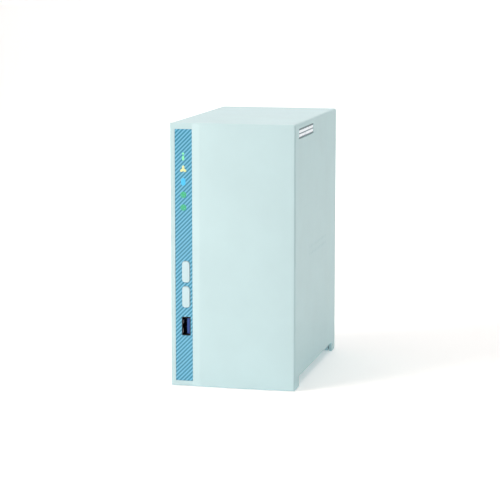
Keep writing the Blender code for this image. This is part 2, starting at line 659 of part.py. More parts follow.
def make_rear_panel(parent):
    """The rear panel: a shallow tray with the honeycomb grille and an opening for each socket."""
    panel = block(
        "rear_panel",
        (-REAR_X, REAR_INNER - REAR_RIM_DEPTH, REAR_Z[0]),
        (REAR_X, REAR_FACE, REAR_Z[1]),
        parent,
        "body_plastic",
        0.0004,
    )
    hollow = block(
        "rear_hollow_cutter",
        (-REAR_X + REAR_RIM, REAR_INNER - REAR_RIM_DEPTH - 0.001, REAR_Z[0] + REAR_RIM),
        (REAR_X - REAR_RIM, REAR_INNER, REAR_Z[1] - REAR_RIM),
    )
    low_x = MAIN_BOARD_X + 0.0003
    margin = 0.0006
    openings = [
        rounded(LAN_SIZE[0] + margin, LAN_SIZE[1] + margin, 0.0004, 1, low_x + LAN_SIZE[0] / 2, LAN_Z),
        rounded(DC_SIZE[0] + margin, DC_SIZE[1] + margin, 0.0004, 1, low_x + DC_SIZE[0] / 2, DC_Z),
        circle(0.0013, 12, MAIN_BOARD_X + 0.0032, RESET_Z),
        rounded(*LOCK_SLOT, 0.0006, 2, LOCK_X, LOCK_Z),
    ]
    for z in (USB2_Z, USB3_Z):
        openings.append(rounded(USB_SHELL[0] + margin, USB_SHELL[1] + margin, 0.0004, 1, USB_X, z))
    openings += [circle(0.0023, 12, x, z) for _, x, z in fan_screw_places()]
    openings += [circle(0.0017, 12, x, COVER_SCREW_Z) for x in COVER_SCREW_X]
    cutter = several("rear_opening_cutter", openings + grille_holes(), 0.012, "Y", (0, REAR_FACE, 0))
    cut(panel, hollow, cutter)

    lock = block(
        "lock_plate",
        (LOCK_X - 0.0055, REAR_INNER - TOUCH - 0.0015, LOCK_Z - 0.0070),
        (LOCK_X + 0.0055, REAR_INNER - TOUCH, LOCK_Z + 0.0070),
        parent,
        "zinc_sheet",
        0.0002,
    )
    slot = rounded(*LOCK_SLOT, 0.0006, 2, LOCK_X, LOCK_Z)
    cut(lock, several("lock_slot_cutter", [slot], 0.01, "Y", (0, REAR_INNER, 0)))


# ---------------------------------------------------------------- fan
def make_fan_frame(parent):
    """The square frame with its round duct, bearing seat and four struts."""
    centre = (FAN_X, FAN_BACK - FAN_DEPTH / 2, FAN_Z)
    outline = rounded(FAN_SIZE, FAN_SIZE, 0.0045, 4)
    frame = prism("fan_frame", outline, FAN_DEPTH, "Y", centre, parent, "black_plastic")
    duct = cylinder("fan_duct_cutter", centre, FAN_BORE, FAN_DEPTH + 0.002, "Y", sides=48)
    corner_holes = [circle(0.0022, 12, x, z) for _, x, z in fan_screw_places()]
    cut(frame, duct, several("fan_hole_cutter", corner_holes, FAN_DEPTH + 0.002, "Y", (0, centre[1], 0)))
    # The middle of each side is thinner than the corners, which leaves the flanges at both faces.
    relief = []
    for turn in range(4):
        angle = turn * math.pi / 2
        u, v = math.cos(angle) * FAN_SIZE / 2, math.sin(angle) * FAN_SIZE / 2
        along, across = (0.0020, 0.0520)
        width, height = (along, across) if turn % 2 == 0 else (across, along)
        relief.append(rounded(width, height, 0.0006, 1, FAN_X + u, FAN_Z + v))
    cut(frame, several("fan_relief_cutter", relief, FAN_DEPTH - 0.0070, "Y", (0, centre[1], 0)))

    seat_length = 0.0030
    seat_centre = (FAN_X, FAN_BACK - seat_length / 2, FAN_Z)
    seat = cylinder("fan_seat_body", seat_centre, 0.0170, seat_length, "Y", sides=32)
    tube_length = 0.0150
    tube_centre = (FAN_X, FAN_BACK - seat_length + OVERLAP - tube_length / 2, FAN_Z)
    tube = cylinder("fan_tube_body", tube_centre, 0.0038, tube_length, "Y", sides=16)
    struts = []
    half_width, reach = 0.0012, (0.0150, FAN_BORE + 0.0010)
    for i in range(4):
        angle = math.pi / 4 + i * math.pi / 2
        along, across = (math.cos(angle), math.sin(angle)), (-math.sin(angle), math.cos(angle))
        corners = ((0, -half_width), (1, -half_width), (1, half_width), (0, half_width))
        strut = []
        for end, w in corners:
            r = reach[end]
            strut.append((FAN_X + r * along[0] + w * across[0], FAN_Z + r * along[1] + w * across[1]))
        struts.append(strut)
    strut_body = several("fan_strut_body", struts, 0.0024, "Y", (0, FAN_BACK - 0.0015, 0))
    join(frame, seat, tube, strut_body)
    bore_centre = (FAN_X, tube_centre[1] - 0.001, FAN_Z)
    bore_length = tube_length + 0.002
    cut(frame, cylinder("fan_bearing_cutter", bore_centre, BEARING_RADIUS, bore_length, "Y", sides=24))


def blade_section(radius, angle, pitch, chord, thickness, y):
    """The four corners of a blade's section at one radius, from its leading to its trailing edge."""
    corners = []
    for along, across in ((-0.5, -0.5), (0.5, -0.5), (0.5, 0.5), (-0.5, 0.5)):
        tangential = along * chord * math.cos(pitch) - across * thickness * math.sin(pitch)
        axial = along * chord * math.sin(pitch) + across * thickness * math.cos(pitch)
        swept = angle + tangential / radius
        corners.append(Vector((radius * math.cos(swept), y + axial, radius * math.sin(swept))))
    return corners


def make_fan_rotor(parent):
    """The hub cup with seven pitched blades, and the shaft pressed into it, about the fan's axis."""
    hub_front, hub_back = FAN_FRONT + 0.0020, FAN_BACK - 0.0040
    centre_y = (hub_front + hub_back) / 2
    axis = group("fan_axis", (FAN_X, centre_y, FAN_Z), parent)
    length = hub_back - hub_front
    hub_centre = (FAN_X, centre_y, FAN_Z)
    rotor = cylinder("fan_rotor", hub_centre, HUB_RADIUS, length, "Y", axis, "black_plastic", 32)
    bevel(rotor, 0.0010, 2, 60)
    stations = 4
    bm = bmesh.new()
    for blade in range(BLADES):
        angle = 2 * math.pi * blade / BLADES
        rings = []
        for i in range(stations):
            t = i / (stations - 1)
            radius = HUB_RADIUS - OVERLAP * 2 + t * (BLADE_TIP - HUB_RADIUS + OVERLAP * 2)
            pitch = math.radians(48 - 20 * t)
            corners = blade_section(radius, angle + 0.25 * t, pitch, 0.0150 + 0.0075 * t, 0.0016, 0.0)
            rings.append([bm.verts.new(corner) for corner in corners])
        bm.faces.new(rings[0])
        bm.faces.new(rings[-1])
        for first, second in zip(rings, rings[1:]):
            for i in range(4):
                j = (i + 1) % 4
                bm.faces.new((first[i], first[j], second[j], second[i]))
    blades = place(bm, "fan_blade_body", hub_centre, None, None)
    join(rotor, blades)
    hollow_depth = length - 0.0025
    hollow_y = hub_back - hollow_depth / 2 + 0.001
    hollow_centre, hollow_length = (FAN_X, hollow_y, FAN_Z), hollow_depth + 0.002
    cut(rotor, cylinder("hub_hollow_cutter", hollow_centre, HUB_HOLLOW_RADIUS, hollow_length, "Y", sides=24))
    shaft_front, shaft_back = hub_back - hollow_depth + TOUCH, FAN_BACK - 0.0036
    shaft_centre = (FAN_X, (shaft_front + shaft_back) / 2, FAN_Z)
    cylinder("fan_shaft", shaft_centre, SHAFT_RADIUS, shaft_back - shaft_front, "Y", axis, "steel", 24)


def make_fan_stator(parent):
    """The coil pack inside the hub: a four-armed core around the bearing tube."""
    arm, reach = 0.0036, 0.0115
    outline = []
    for i in range(4):
        a = math.pi / 2 * i
        for u, v in ((arm, arm), (reach - 0.002, arm), (reach - 0.002, 0.0062), (reach, 0.0062)):
            outline.append((u * math.cos(a) + v * math.sin(a), u * math.sin(a) - v * math.cos(a)))
        for u, v in ((reach, -0.0062), (reach - 0.002, -0.0062), (reach - 0.002, -arm)):
            outline.append((u * math.cos(a) + v * math.sin(a), u * math.sin(a) - v * math.cos(a)))
    centre = (FAN_X, FAN_BACK - 0.0105, FAN_Z)
    core = prism("fan_stator", outline, 0.0080, "Y", centre, parent, "zinc_sheet")
    cut(core, cylinder("stator_bore_cutter", centre, 0.0038 + TOUCH, 0.0100, "Y", sides=16))


def make_fan_screws(parent):
    """Four screws through the rear panel into the frame's corners, each with a cross recess in its head."""
    for name, x, z in fan_screw_places():
        head_y = REAR_FACE + 0.0001
        head_radius, head_length = SCREW_HEAD
        head_centre = (x, head_y + head_length / 2, z)
        head = cylinder(f"fan_screw_{name}", head_centre, head_radius, head_length, "Y", parent, "steel", 16)
        shank_end = FAN_BACK - 0.0090
        shank_centre = (x, (shank_end + head_y + OVERLAP) / 2, z)
        shank_length = head_y + OVERLAP - shank_end
        shank = cylinder(f"fan_screw_{name}_shank_body", shank_centre, 0.0018, shank_length, "Y", sides=12)
        arm, half = 0.0018, 0.0004
        flat_slot = [rectangle(x - arm, z - half, x + arm, z + half)]
        upright_slot = [rectangle(x - half, z - arm, x + half, z + arm)]
        join(head, shank)
        for number, outline in enumerate((flat_slot, upright_slot), 1):
            recess_name = f"fan_screw_{name}_cross_{number}_cutter"
            cut(head, several(recess_name, outline, 0.0016, "Y", (0, head_y + SCREW_HEAD[1], 0)))


# ---------------------------------------------------------------- electronics
def make_main_board(parent):
    """The upright board beside the left wall. A tab at its lower front carries the front socket."""
    front_tab_y, front_y = BEZEL_BACK + SLIP, -0.0610
    back_y = REAR_INNER - 0.0025
    low_z, high_z, tab_z = MAIN_BOARD_Z[0], MAIN_BOARD_Z[1], 0.0520
    outline = [
        (front_tab_y, low_z),
        (back_y, low_z),
        (back_y, high_z),
        (front_y, high_z),
        (front_y, tab_z),
        (front_tab_y, tab_z),
    ]
    centre = (MAIN_BOARD_X - BOARD_THICKNESS / 2, 0, 0)
    prism("main_board", outline, BOARD_THICKNESS, "X", centre, parent, "board_green")


def on_main_board(name, y, z, size, parent, finish, edge=0.0, lift=0.0002):
    """A block on the board's component face. size is how far it stands off, then its Y and Z extents."""
    x = MAIN_BOARD_X + lift
    low = (x, y - size[1] / 2, z - size[2] / 2)
    high = (x + size[0], y + size[1] / 2, z + size[2] / 2)
    return block(name, low, high, parent, finish, edge)


def make_chips(parent):
    """The processor under its heat sink, memory, flash, and the clock's coin cell in its holder."""
    on_main_board("processor", -0.0050, 0.0560, (0.0016, 0.0190, 0.0190), parent, "black_plastic", 0.0002)
    on_main_board("memory_chip", -0.0300, 0.0600, (0.0012, 0.0095, 0.0135), parent, "black_plastic", 0.0001)
    on_main_board("flash_chip", -0.0300, 0.0820, (0.0011, 0.0130, 0.0115), parent, "black_plastic", 0.0001)

    base_x, fins, depth, fin = MAIN_BOARD_X + 0.0021, 9, 0.0360, 0.0012
    root, tip = 0.0022, 0.0120
    pitch = (depth - fin) / (fins - 1)
    comb = [(0.0, 0.0)]
    for i in range(fins):
        start = i * pitch
        comb += [(tip, start), (tip, start + fin)]
        if i < fins - 1:
            comb += [(root, start + fin), (root, start + pitch)]
    comb.append((0.0, depth))
    outline = [(base_x + u, v - 0.0050 - depth / 2) for u, v in comb]
    prism("heat_sink", outline, 0.0360, "Z", (0, 0, 0.0560), parent, "aluminium")

    cell_y, cell_z, radius = 0.0340, 0.0300, 0.0100
    size = (0.0046, 0.0240, 0.0240)
    holder = on_main_board("cell_holder", cell_y, cell_z, size, parent, "black_plastic", 0.0005)
    pocket_x = MAIN_BOARD_X + 0.0002 + 0.0012
    pocket = (pocket_x + 0.003, cell_y, cell_z)
    cut(holder, cylinder("cell_pocket_cutter", pocket, radius + 0.0003, 0.0060, "X", sides=28))
    cell_centre = (pocket_x + TOUCH + 0.0016, cell_y, cell_z)
    cell = cylinder("coin_cell", cell_centre, radius, 0.0032, "X", parent, "steel", 28)
    bevel(cell, 0.0003, 1, 60)


def make_drive_board(parent):
    """The horizontal board under the cage, its two drive connectors, and its plug into the main board."""
    low = (MAIN_BOARD_X + 0.0008, -0.0580, SATA_BOARD_Z[0])
    high = (0.0395, 0.0360, SATA_BOARD_Z[1])
    block("drive_board", low, high, parent, "board_green", 0.0003)
    top = SATA_BOARD_Z[1] + 0.0002
    for number, drive_x in enumerate(DRIVE_X, 1):
        x = drive_x + 0.0050
        body = block(
            f"drive_connector_{number}",
            (x, -0.0500, top),
            (x + 0.0062, -0.0080, DRIVE_Z - TOUCH),
            parent,
            "black_plastic",
            0.0003,
        )
        slots = ((-0.0485, -0.0330), (-0.0310, -0.0095))
        for slot_number, (start, end) in enumerate(slots, 1):
            low = (x + 0.0020, start, DRIVE_Z - TOUCH - 0.0050)
            high = (x + 0.0044, end, DRIVE_Z + 0.0010)
            cut(body, block(f"drive_connector_{number}_slot_{slot_number}_cutter", low, high))
    block(
        "board_link",
        (MAIN_BOARD_X + 0.0002, 0.0000, top),
        (MAIN_BOARD_X + 0.0082, 0.0200, top + 0.0050),
        parent,
        "white_plastic",
        0.0003,
    )


def make_cage(parent):
    """The drive cage: one folded sheet with two walls and a floor, and a divider between the drives."""
    (left, right), (front, back), (bottom, top) = CAGE_X, CAGE_Y, CAGE_Z
    section = [
        (left, bottom),
        (right, bottom),
        (right, top),
        (right - CAGE_SHEET, top),
        (right - CAGE_SHEET, bottom + CAGE_SHEET),
        (left + CAGE_SHEET, bottom + CAGE_SHEET),
        (left + CAGE_SHEET, top),
        (left, top),
    ]
    cage = prism("drive_cage", section, back - front, "Y", (0, (front + back) / 2, 0), parent, "zinc_sheet")
    middle = (DRIVE_X[0] + DRIVE_SIZE[0] + DRIVE_X[1]) / 2
    divider_low = (middle - CAGE_SHEET / 2, front, bottom + CAGE_SHEET - OVERLAP)
    join(cage, block("cage_divider_body", divider_low, (middle + CAGE_SHEET / 2, back, top - 0.030)))
    slots = [
        rounded(0.0110, 0.0320, 0.0050, 2, -0.0460 + 0.0175 * column, z)
        for column in range(5)
        for z in (0.0520, 0.0910)
    ]
    cut(cage, several("cage_slot_cutter", slots, 2 * WIDTH, "X", (0, 0, 0)))
    for number, drive_x in enumerate(DRIVE_X, 1):
        low = (drive_x + 0.0030, -0.0530, bottom - 0.002)
        high = (drive_x + 0.0140, -0.0050, bottom + CAGE_SHEET + 0.002)
        cut(cage, block(f"cage_connector_{number}_cutter", low, high))
    # Each wall stands on the drive board's level, on two legs that reach the base pan.
    for side, x in (("left", left), ("right", right - CAGE_SHEET)):
        for end, y in (("front", front), ("back", back - 0.0010)):
            start = y if end == "front" else back - 0.0012
            leg_low = (x, start, PAN_Z[1] + TOUCH)
            leg_high = (x + CAGE_SHEET, start + 0.0012, bottom + OVERLAP)
            join(cage, block(f"cage_leg_{side}_{end}_body", leg_low, leg_high))


def make_drives(parent):
    """Two 3.5 inch drives on their connectors, each with a round platter well, a lid and a circuit board."""
    thickness, width, length = DRIVE_SIZE
    for number, x in enumerate(DRIVE_X, 1):
        case_face = x + thickness - DRIVE_LID - TOUCH
        case = block(
            f"drive_{number}_case",
            (x + 0.0016, DRIVE_Y, DRIVE_Z),
            (case_face, DRIVE_Y + width, DRIVE_Z + length),
            parent,
            "aluminium",
            0.0012,
        )
        well_centre = (case_face, DRIVE_Y + width / 2, DRIVE_Z + length - 0.0035 - PLATTER_WELL[0])
        well_radius, well_depth = PLATTER_WELL
        well_length = 2 * well_depth
        well = cylinder(f"platter_well_{number}_cutter", well_centre, well_radius, well_length, "X", sides=36)
        cut(case, well)
        lid_centre = (x + thickness - DRIVE_LID / 2, DRIVE_Y + width / 2, DRIVE_Z + length / 2)
        lid = rounded(width - 0.0024, length - 0.0024, 0.0060, 3)
        prism(f"drive_{number}_lid", lid, DRIVE_LID, "X", lid_centre, parent, "bright_metal")
        block(
            f"drive_{number}_board",
            (x, DRIVE_Y + 0.0040, DRIVE_Z + 0.0030),
            (x + 0.0013, DRIVE_Y + width - 0.0040, DRIVE_Z + 0.0640),
            parent,
            "board_green",
            0.0002,
        )


# ---------------------------------------------------------------- leads
def smooth_route(points, per_span=6):
    """Points along a Catmull-Rom curve through the given ones."""
    ends = [points[0], *points, points[-1]]
    ends = [Vector(p) for p in ends]
    route = []
    for a, b, c, d in zip(ends, ends[1:], ends[2:], ends[3:]):
        for i in range(per_span):
            t = i / per_span
            bend, twist = 2 * a - 5 * b + 4 * c - d, 3 * b - a - 3 * c + d
            route.append(0.5 * (2 * b + (c - a) * t + bend * t**2 + twist * t**3))
    route.append(ends[-1])
    return route


def make_fan_lead(parent):
    """The fan's lead, from the frame's lower corner down to the main board."""
    route = smooth_route(
        [
            (-0.0345, FAN_FRONT - 0.0006, 0.1050),
            (-0.0345, FAN_FRONT - 0.0035, 0.1035),
            (-0.0340, FAN_FRONT - 0.0055, 0.0980),
            (-0.0335, FAN_FRONT - 0.0065, 0.0910),
            (-0.0340, FAN_FRONT - 0.0070, 0.0850),
            (-0.0358, FAN_FRONT - 0.0070, 0.0825),
        ]
    )
    curve = bpy.data.curves.new("fan_lead", "CURVE")
    curve.dimensions = "3D"
    curve.bevel_depth = 0.0010
    curve.bevel_resolution = 2
    curve.use_fill_caps = True
    spline = curve.splines.new("POLY")
    spline.points.add(len(route) - 1)
    for point, place_at in zip(spline.points, route):
        point.co = (*place_at, 1.0)
    obj = bpy.data.objects.new("fan_lead", curve)
    bpy.context.scene.collection.objects.link(obj)
    obj.parent = parent
    curve.materials.append(material("cable_sheath"))


def make_ribbon(parent):
    """The flat ribbon between the front board and the main board, bowed in one loose curve."""
    start = Vector((-0.0330, FRONT_BOARD_Y + FRONT_BOARD_THICKNESS + 0.0002))
    end = Vector((MAIN_BOARD_X + 0.0002, -0.0480))
    thickness, steps = 0.0007, 10
    centre_line = []
    for i in range(steps + 1):
        t = i / steps
        first, second = start + Vector((0.0, 0.0100)), end + Vector((0.0070, 0.0))
        near = (1 - t) ** 3 * start + 3 * (1 - t) ** 2 * t * first
        centre_line.append(near + 3 * (1 - t) * t**2 * second + t**3 * end)
    left, right = [], []
    for i, point in enumerate(centre_line):
        ahead = centre_line[min(i + 1, steps)] - centre_line[max(i - 1, 0)]
        across = Vector((-ahead.y, ahead.x)).normalized() * thickness / 2
        if i == 0:
            across = Vector((-thickness / 2, 0.0))
        if i == steps:
            across = Vector((0.0, -thickness / 2))
        left.append(tuple(point + across))
        right.append(tuple(point - across))
    prism("front_ribbon", left + right[::-1], 0.0090, "Z", (0, 0, 0.0740), parent, "white_plastic")


# ---------------------------------------------------------------- assembly
def main():
    clear_scene()
    chassis = group("chassis")
    cover = group("cover")

    make_cover(cover)
    make_nameplate(cover)
    make_cover_screws(cover)

    make_bezel(chassis)
    make_strip(chassis)
    for name in BUTTON_Z:
        make_button(name, chassis)
    make_front_board(chassis)

    make_base(chassis)
    make_rear_panel(chassis)
    make_fan_frame(chassis)
    make_fan_rotor(chassis)
    make_fan_stator(chassis)
    make_fan_screws(chassis)

    make_main_board(chassis)
    make_chips(chassis)
    make_drive_board(chassis)
    make_cage(chassis)
    make_drives(chassis)

    make_usb_socket("usb_front", USB_FRONT_Z, COLUMN_Y + 0.0002, 1, "usb_blue", chassis)
    make_usb_socket("usb_rear_lower", USB2_Z, SOCKET_FACE, -1, "black_plastic", chassis)
    make_usb_socket("usb_rear_upper", USB3_Z, SOCKET_FACE, -1, "usb_blue", chassis)
    make_lan_socket(chassis)
    make_power_socket(chassis)
    make_reset(chassis)

    make_fan_lead(chassis)
    make_ribbon(chassis)


main()
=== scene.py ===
"""The looks of an upright two-drive network storage unit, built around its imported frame.

Units are metres, in the frame's own axes: +Z up, -Y the front, +X the right side seen from the front.
Every piece keeps its object at the origin, so a piece's place is in its mesh and materials read that place.
"""

import math
import random

import bmesh
import bpy
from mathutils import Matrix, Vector


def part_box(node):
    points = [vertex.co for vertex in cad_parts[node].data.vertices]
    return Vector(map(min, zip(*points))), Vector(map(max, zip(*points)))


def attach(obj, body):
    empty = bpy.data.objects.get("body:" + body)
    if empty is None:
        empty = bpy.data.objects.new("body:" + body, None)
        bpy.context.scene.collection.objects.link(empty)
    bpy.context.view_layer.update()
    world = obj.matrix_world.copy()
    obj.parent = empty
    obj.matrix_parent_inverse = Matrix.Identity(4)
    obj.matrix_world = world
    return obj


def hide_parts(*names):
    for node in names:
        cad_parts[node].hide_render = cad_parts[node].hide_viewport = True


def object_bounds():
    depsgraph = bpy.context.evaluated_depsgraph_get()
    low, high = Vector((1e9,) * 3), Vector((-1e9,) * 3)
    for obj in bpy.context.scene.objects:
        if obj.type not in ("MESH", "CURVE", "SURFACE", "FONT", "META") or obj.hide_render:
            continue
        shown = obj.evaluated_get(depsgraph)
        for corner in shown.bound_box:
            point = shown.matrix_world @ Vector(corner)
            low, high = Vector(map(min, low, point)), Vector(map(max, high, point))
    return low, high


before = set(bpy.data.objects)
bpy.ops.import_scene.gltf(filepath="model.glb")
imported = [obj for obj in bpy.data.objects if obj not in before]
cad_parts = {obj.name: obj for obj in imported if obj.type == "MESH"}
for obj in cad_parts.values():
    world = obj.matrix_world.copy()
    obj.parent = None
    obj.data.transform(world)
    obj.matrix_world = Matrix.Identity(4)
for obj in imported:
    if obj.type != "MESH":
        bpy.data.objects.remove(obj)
CAD_LOW, CAD_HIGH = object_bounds()

MM = 0.001
TAU = 2 * math.pi


# ---------------------------------------------------------------- measures taken from the frame
def node_box(name):
    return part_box(name)


def measure(name):
    low, high = node_box(name)
    return low, high, (low + high) / 2


def centre_of(name):
    """The middle of a node, seen along Y: (x, z)."""
    low, high = node_box(name)
    return (low.x + high.x) / 2, (low.z + high.z) / 2


COVER_LOW, COVER_HIGH = node_box("outer_cover")
BEZEL_LOW, BEZEL_HIGH = node_box("front_bezel")
STRIP_LOW, STRIP_HIGH = node_box("decor_strip")
REAR_LOW, REAR_HIGH = node_box("rear_panel")
PLATE_LOW, PLATE_HIGH = node_box("nameplate")
FAN_LOW, FAN_HIGH = node_box("fan_frame")
HALF_WIDTH, FRONT, BACK, TOP = CAD_HIGH.x, CAD_LOW.y, CAD_HIGH.y, CAD_HIGH.z

WALL = 2.2 * MM
COVER_RADIUS = 1.6 * MM
SIDE_EDGE_Z = 7.6 * MM
FRONT_FOOT_Y, REAR_FOOT_Y = FRONT + 17.5 * MM, BACK - 12.0 * MM
FOOT_FILLET = 1.5 * MM
PLATE_Y, PLATE_Z = (PLATE_LOW.y + PLATE_HIGH.y) / 2, (PLATE_LOW.z + PLATE_HIGH.z) / 2
PLATE_SIZE = (PLATE_HIGH.y - PLATE_LOW.y, PLATE_HIGH.z - PLATE_LOW.z)

BEZEL_RIM_Y = FRONT + 3.0 * MM
BEZEL_RADIUS = 0.8 * MM
PANEL_BOW = 0.8 * MM
COLUMN_Y = STRIP_LOW.y - 0.1 * MM
PANEL_X = -HALF_WIDTH + 21.5 * MM
SLOPE_X = STRIP_HIGH.x + 0.2 * MM
POCKET_Y = COLUMN_Y + 1.3 * MM
BEZEL_BACK = FRONT + 4.2 * MM

STRIPE_PITCH = 2.95 * MM  # along X or Z; the stripes climb to the right at 45 degrees
STRIPE_SHARE = 0.5
STRIPE_DEPTH = 0.10 * MM

LAMP_X = -HALF_WIDTH + 9.6 * MM
LAMP_ZS = [164.9 * MM - i * (9.0 * MM) for i in range(5)]
CONTROL_X, POWER_Z = centre_of("power_button")
COPY_Z, USB_Z = centre_of("copy_button")[1], centre_of("usb_front_shell")[1]
CAP_SIZE, CAP_RADIUS = (5.6 * MM, 15.3 * MM), 2.2 * MM
USB_SIZE, USB_WALL = (5.9 * MM, 13.1 * MM), 0.35 * MM

REAR_FACE = REAR_HIGH.y
REAR_INNER = REAR_FACE - 2.0 * MM
FAN_X, FAN_Z = centre_of("fan_frame")
GRILLE_RADIUS, GRILLE_PITCH, GRILLE_HOLE = 37.5 * MM, 7.2 * MM, 6.0 * MM
LOCK_CENTRE, LOCK_SLOT = (35.0 * MM, 60.0 * MM), (7.0 * MM, 3.0 * MM)
FAN_SCREWS = [f"fan_screw_{level}_{side}" for level in ("lower", "upper") for side in ("left", "right")]
BOARD_BACK, BOARD_FACE = node_box("main_board")[0].x, node_box("main_board")[1].x


# ---------------------------------------------------------------- mesh helpers
AXES = {
    "X": lambda u, v, along: Vector((along, u, v)),
    "Y": lambda u, v, along: Vector((u, along, v)),
    "Z": lambda u, v, along: Vector((u, v, along)),
}


def arc(u, v, radius, start, turn, steps):
    angles = [start + turn * i / steps for i in range(steps + 1)]
    return [(u + radius * math.cos(a), v + radius * math.sin(a)) for a in angles]


def circle(radius, u=0.0, v=0.0, sides=48, turn=0.0):
    return arc(u, v, radius, turn, TAU, sides)[:-1]


def rounded(width, height, radius, u=0.0, v=0.0, steps=8):
    """A rectangle with round corners, centred on (u, v)."""
    points = []
    for quarter, (su, sv) in enumerate(((1, 1), (-1, 1), (-1, -1), (1, -1))):
        middle_u, middle_v = u + su * (width / 2 - radius), v + sv * (height / 2 - radius)
        for i in range(steps + 1):
            angle = math.pi / 2 * (quarter + i / steps)
            points.append((middle_u + radius * math.cos(angle), middle_v + radius * math.sin(angle)))
    return points


def skin(bm, rings, capped=True):
    """Joins rings of vertices with a band of faces between neighbours, and closes both ends."""
    if capped:
        bm.faces.new(rings[0])
        bm.faces.new(rings[-1])
    for first, second in zip(rings, rings[1:]):
        for i in range(len(first)):
            j = (i + 1) % len(first)
            bm.faces.new((first[i], first[j], second[j], second[i]))
    return bm


def slab(bm, outline, axis, low, high):
    """Adds a prism to bm: outline holds the other two coordinates, low and high are along axis."""
    to_world = AXES[axis]
    return skin(bm, [[bm.verts.new(to_world(u, v, along)) for u, v in outline] for along in (low, high)])


def cuboid(bm, low, high):
    outline = [(low[0], low[1]), (high[0], low[1]), (high[0], high[1]), (low[0], high[1])]
    return slab(bm, outline, "Z", low[2], high[2])


def turned(bm, profile, axis, centre=(0.0, 0.0), sides=48):
    """Adds a turned body. profile is (radius, place along axis); its ends lie on the axis."""
    to_world = AXES[axis]
    rings = []
    for radius, along in profile:
        around = [centre] if radius < 1e-7 else circle(radius, *centre, sides)
        rings.append([bm.verts.new(to_world(u, v, along)) for u, v in around])
    for first, second in zip(rings, rings[1:]):
        for i in range(sides):
            j = (i + 1) % sides
            corners = [first[i % len(first)], first[j % len(first)]]
            corners += [second[j % len(second)], second[i % len(second)]]
            bm.faces.new([v for k, v in enumerate(corners) if v not in corners[:k]])
    return bm


def tube(bm, points, radius, sides=10):
    """Adds a round rod along a list of points, with closed ends."""
    points = [Vector(p) for p in points]
    rings = []
    side = Vector((0.31, 0.17, 0.93))
    for i, point in enumerate(points):
        ahead = (points[min(i + 1, len(points) - 1)] - points[max(i - 1, 0)]).normalized()
        side = (side - ahead * side.dot(ahead)).normalized()
        other = ahead.cross(side)
        turns = [TAU * k / sides for k in range(sides)]
        around = [point + radius * (math.cos(a) * side + math.sin(a) * other) for a in turns]
        rings.append([bm.verts.new(place) for place in around])
    return skin(bm, rings)


def prism(outline, axis, low, high):
    return slab(bmesh.new(), outline, axis, low, high)


def block(low, high):
    return cuboid(bmesh.new(), low, high)


def lathe(profile, axis, centre=(0.0, 0.0), sides=48):
    return turned(bmesh.new(), profile, axis, centre, sides)


def scaled(pairs, along=0.0, sign=1):
    """Pairs in millimetres (radius, height), as a profile that starts at along."""
    return [(r * MM, along + sign * h * MM) for r, h in pairs]


def piece(name, bm, finish):
    """Makes an object from bm."""
    bmesh.ops.recalc_face_normals(bm, faces=bm.faces)
    if bm.calc_volume(signed=True) < 0:
        bmesh.ops.reverse_faces(bm, faces=bm.faces)
    mesh = bpy.data.meshes.new(name)
    bm.to_mesh(mesh)
    bm.free()
    obj = bpy.data.objects.new(name, mesh)
    bpy.context.scene.collection.objects.link(obj)
    if finish:
        mesh.materials.append(finish)
    return obj


def settle(obj):
    """Turns the object's modifiers into mesh."""
    graph = bpy.context.evaluated_depsgraph_get()
    mesh = bpy.data.meshes.new_from_object(obj.evaluated_get(graph))
    obj.modifiers.clear()
    obj.data = mesh


def combine(obj, bm, operation):
    """Cuts bm from the object, or joins bm to it."""
    other = piece("cutter", bm, None)
    modifier = obj.modifiers.new(operation, "BOOLEAN")
    modifier.operation = operation
    modifier.solver = "EXACT"
    modifier.object = other
    settle(obj)
    bpy.data.objects.remove(other)
    return obj


def cut(obj, bm):
    return combine(obj, bm, "DIFFERENCE")


def join(obj, bm):
    return combine(obj, bm, "UNION")


def add_bevel(obj, width, segments, angle):
    modifier = obj.modifiers.new("edges", "BEVEL")
    modifier.width = width
    modifier.segments = segments
    modifier.limit_method = "ANGLE"
    modifier.angle_limit = math.radians(angle)
    return modifier


def soften(obj, width=0.0, segments=3, angle=40):
    """Rounds the edges that are sharper than angle, and shades the rest smooth."""
    clean = bmesh.new()
    clean.from_mesh(obj.data)
    bmesh.ops.remove_doubles(clean, verts=clean.verts, dist=0.002 * MM)
    bmesh.ops.dissolve_degenerate(clean, edges=clean.edges, dist=0.002 * MM)
    clean.to_mesh(obj.data)
    clean.free()
    if width:
        add_bevel(obj, width, segments, angle).miter_outer = "MITER_ARC"
        settle(obj)
    obj.data.shade_smooth()
    obj.data.set_sharp_from_angle(angle=math.radians(angle))
    obj.modifiers.new("normals", "WEIGHTED_NORMAL").keep_sharp = True
    return obj


def show(obj, slot, *stands_for, body="chassis"):
    """Puts a piece in the model on the body it rides on, and hides the frame nodes it stands for. The slot
    argument is not used.
    """
    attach(obj, body)
    if stands_for:
        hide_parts(*stands_for)


def made(name, bm, finish, slot, *stands_for, body="chassis", edge=0.0, segments=2, angle=40):
    """Makes a softened piece and puts it in the model."""
    show(soften(piece(name, bm, finish), edge, segments, angle), slot, *stands_for, body=body)


def dress(node, finish, edge):
    """Gives a frame node its material and small rounded edges, with its shape as it is."""
    node.data.materials.clear()
    node.data.materials.append(finish)
    node.modifiers.new("weld", "WELD").merge_threshold = 0.001 * MM
    if edge:
        add_bevel(node, edge, 2, 40)
    return node


def keep(name, finish, edge=0.15 * MM):
    """A frame node that keeps its own shape."""
    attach(dress(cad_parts[name], finish, edge), "chassis")


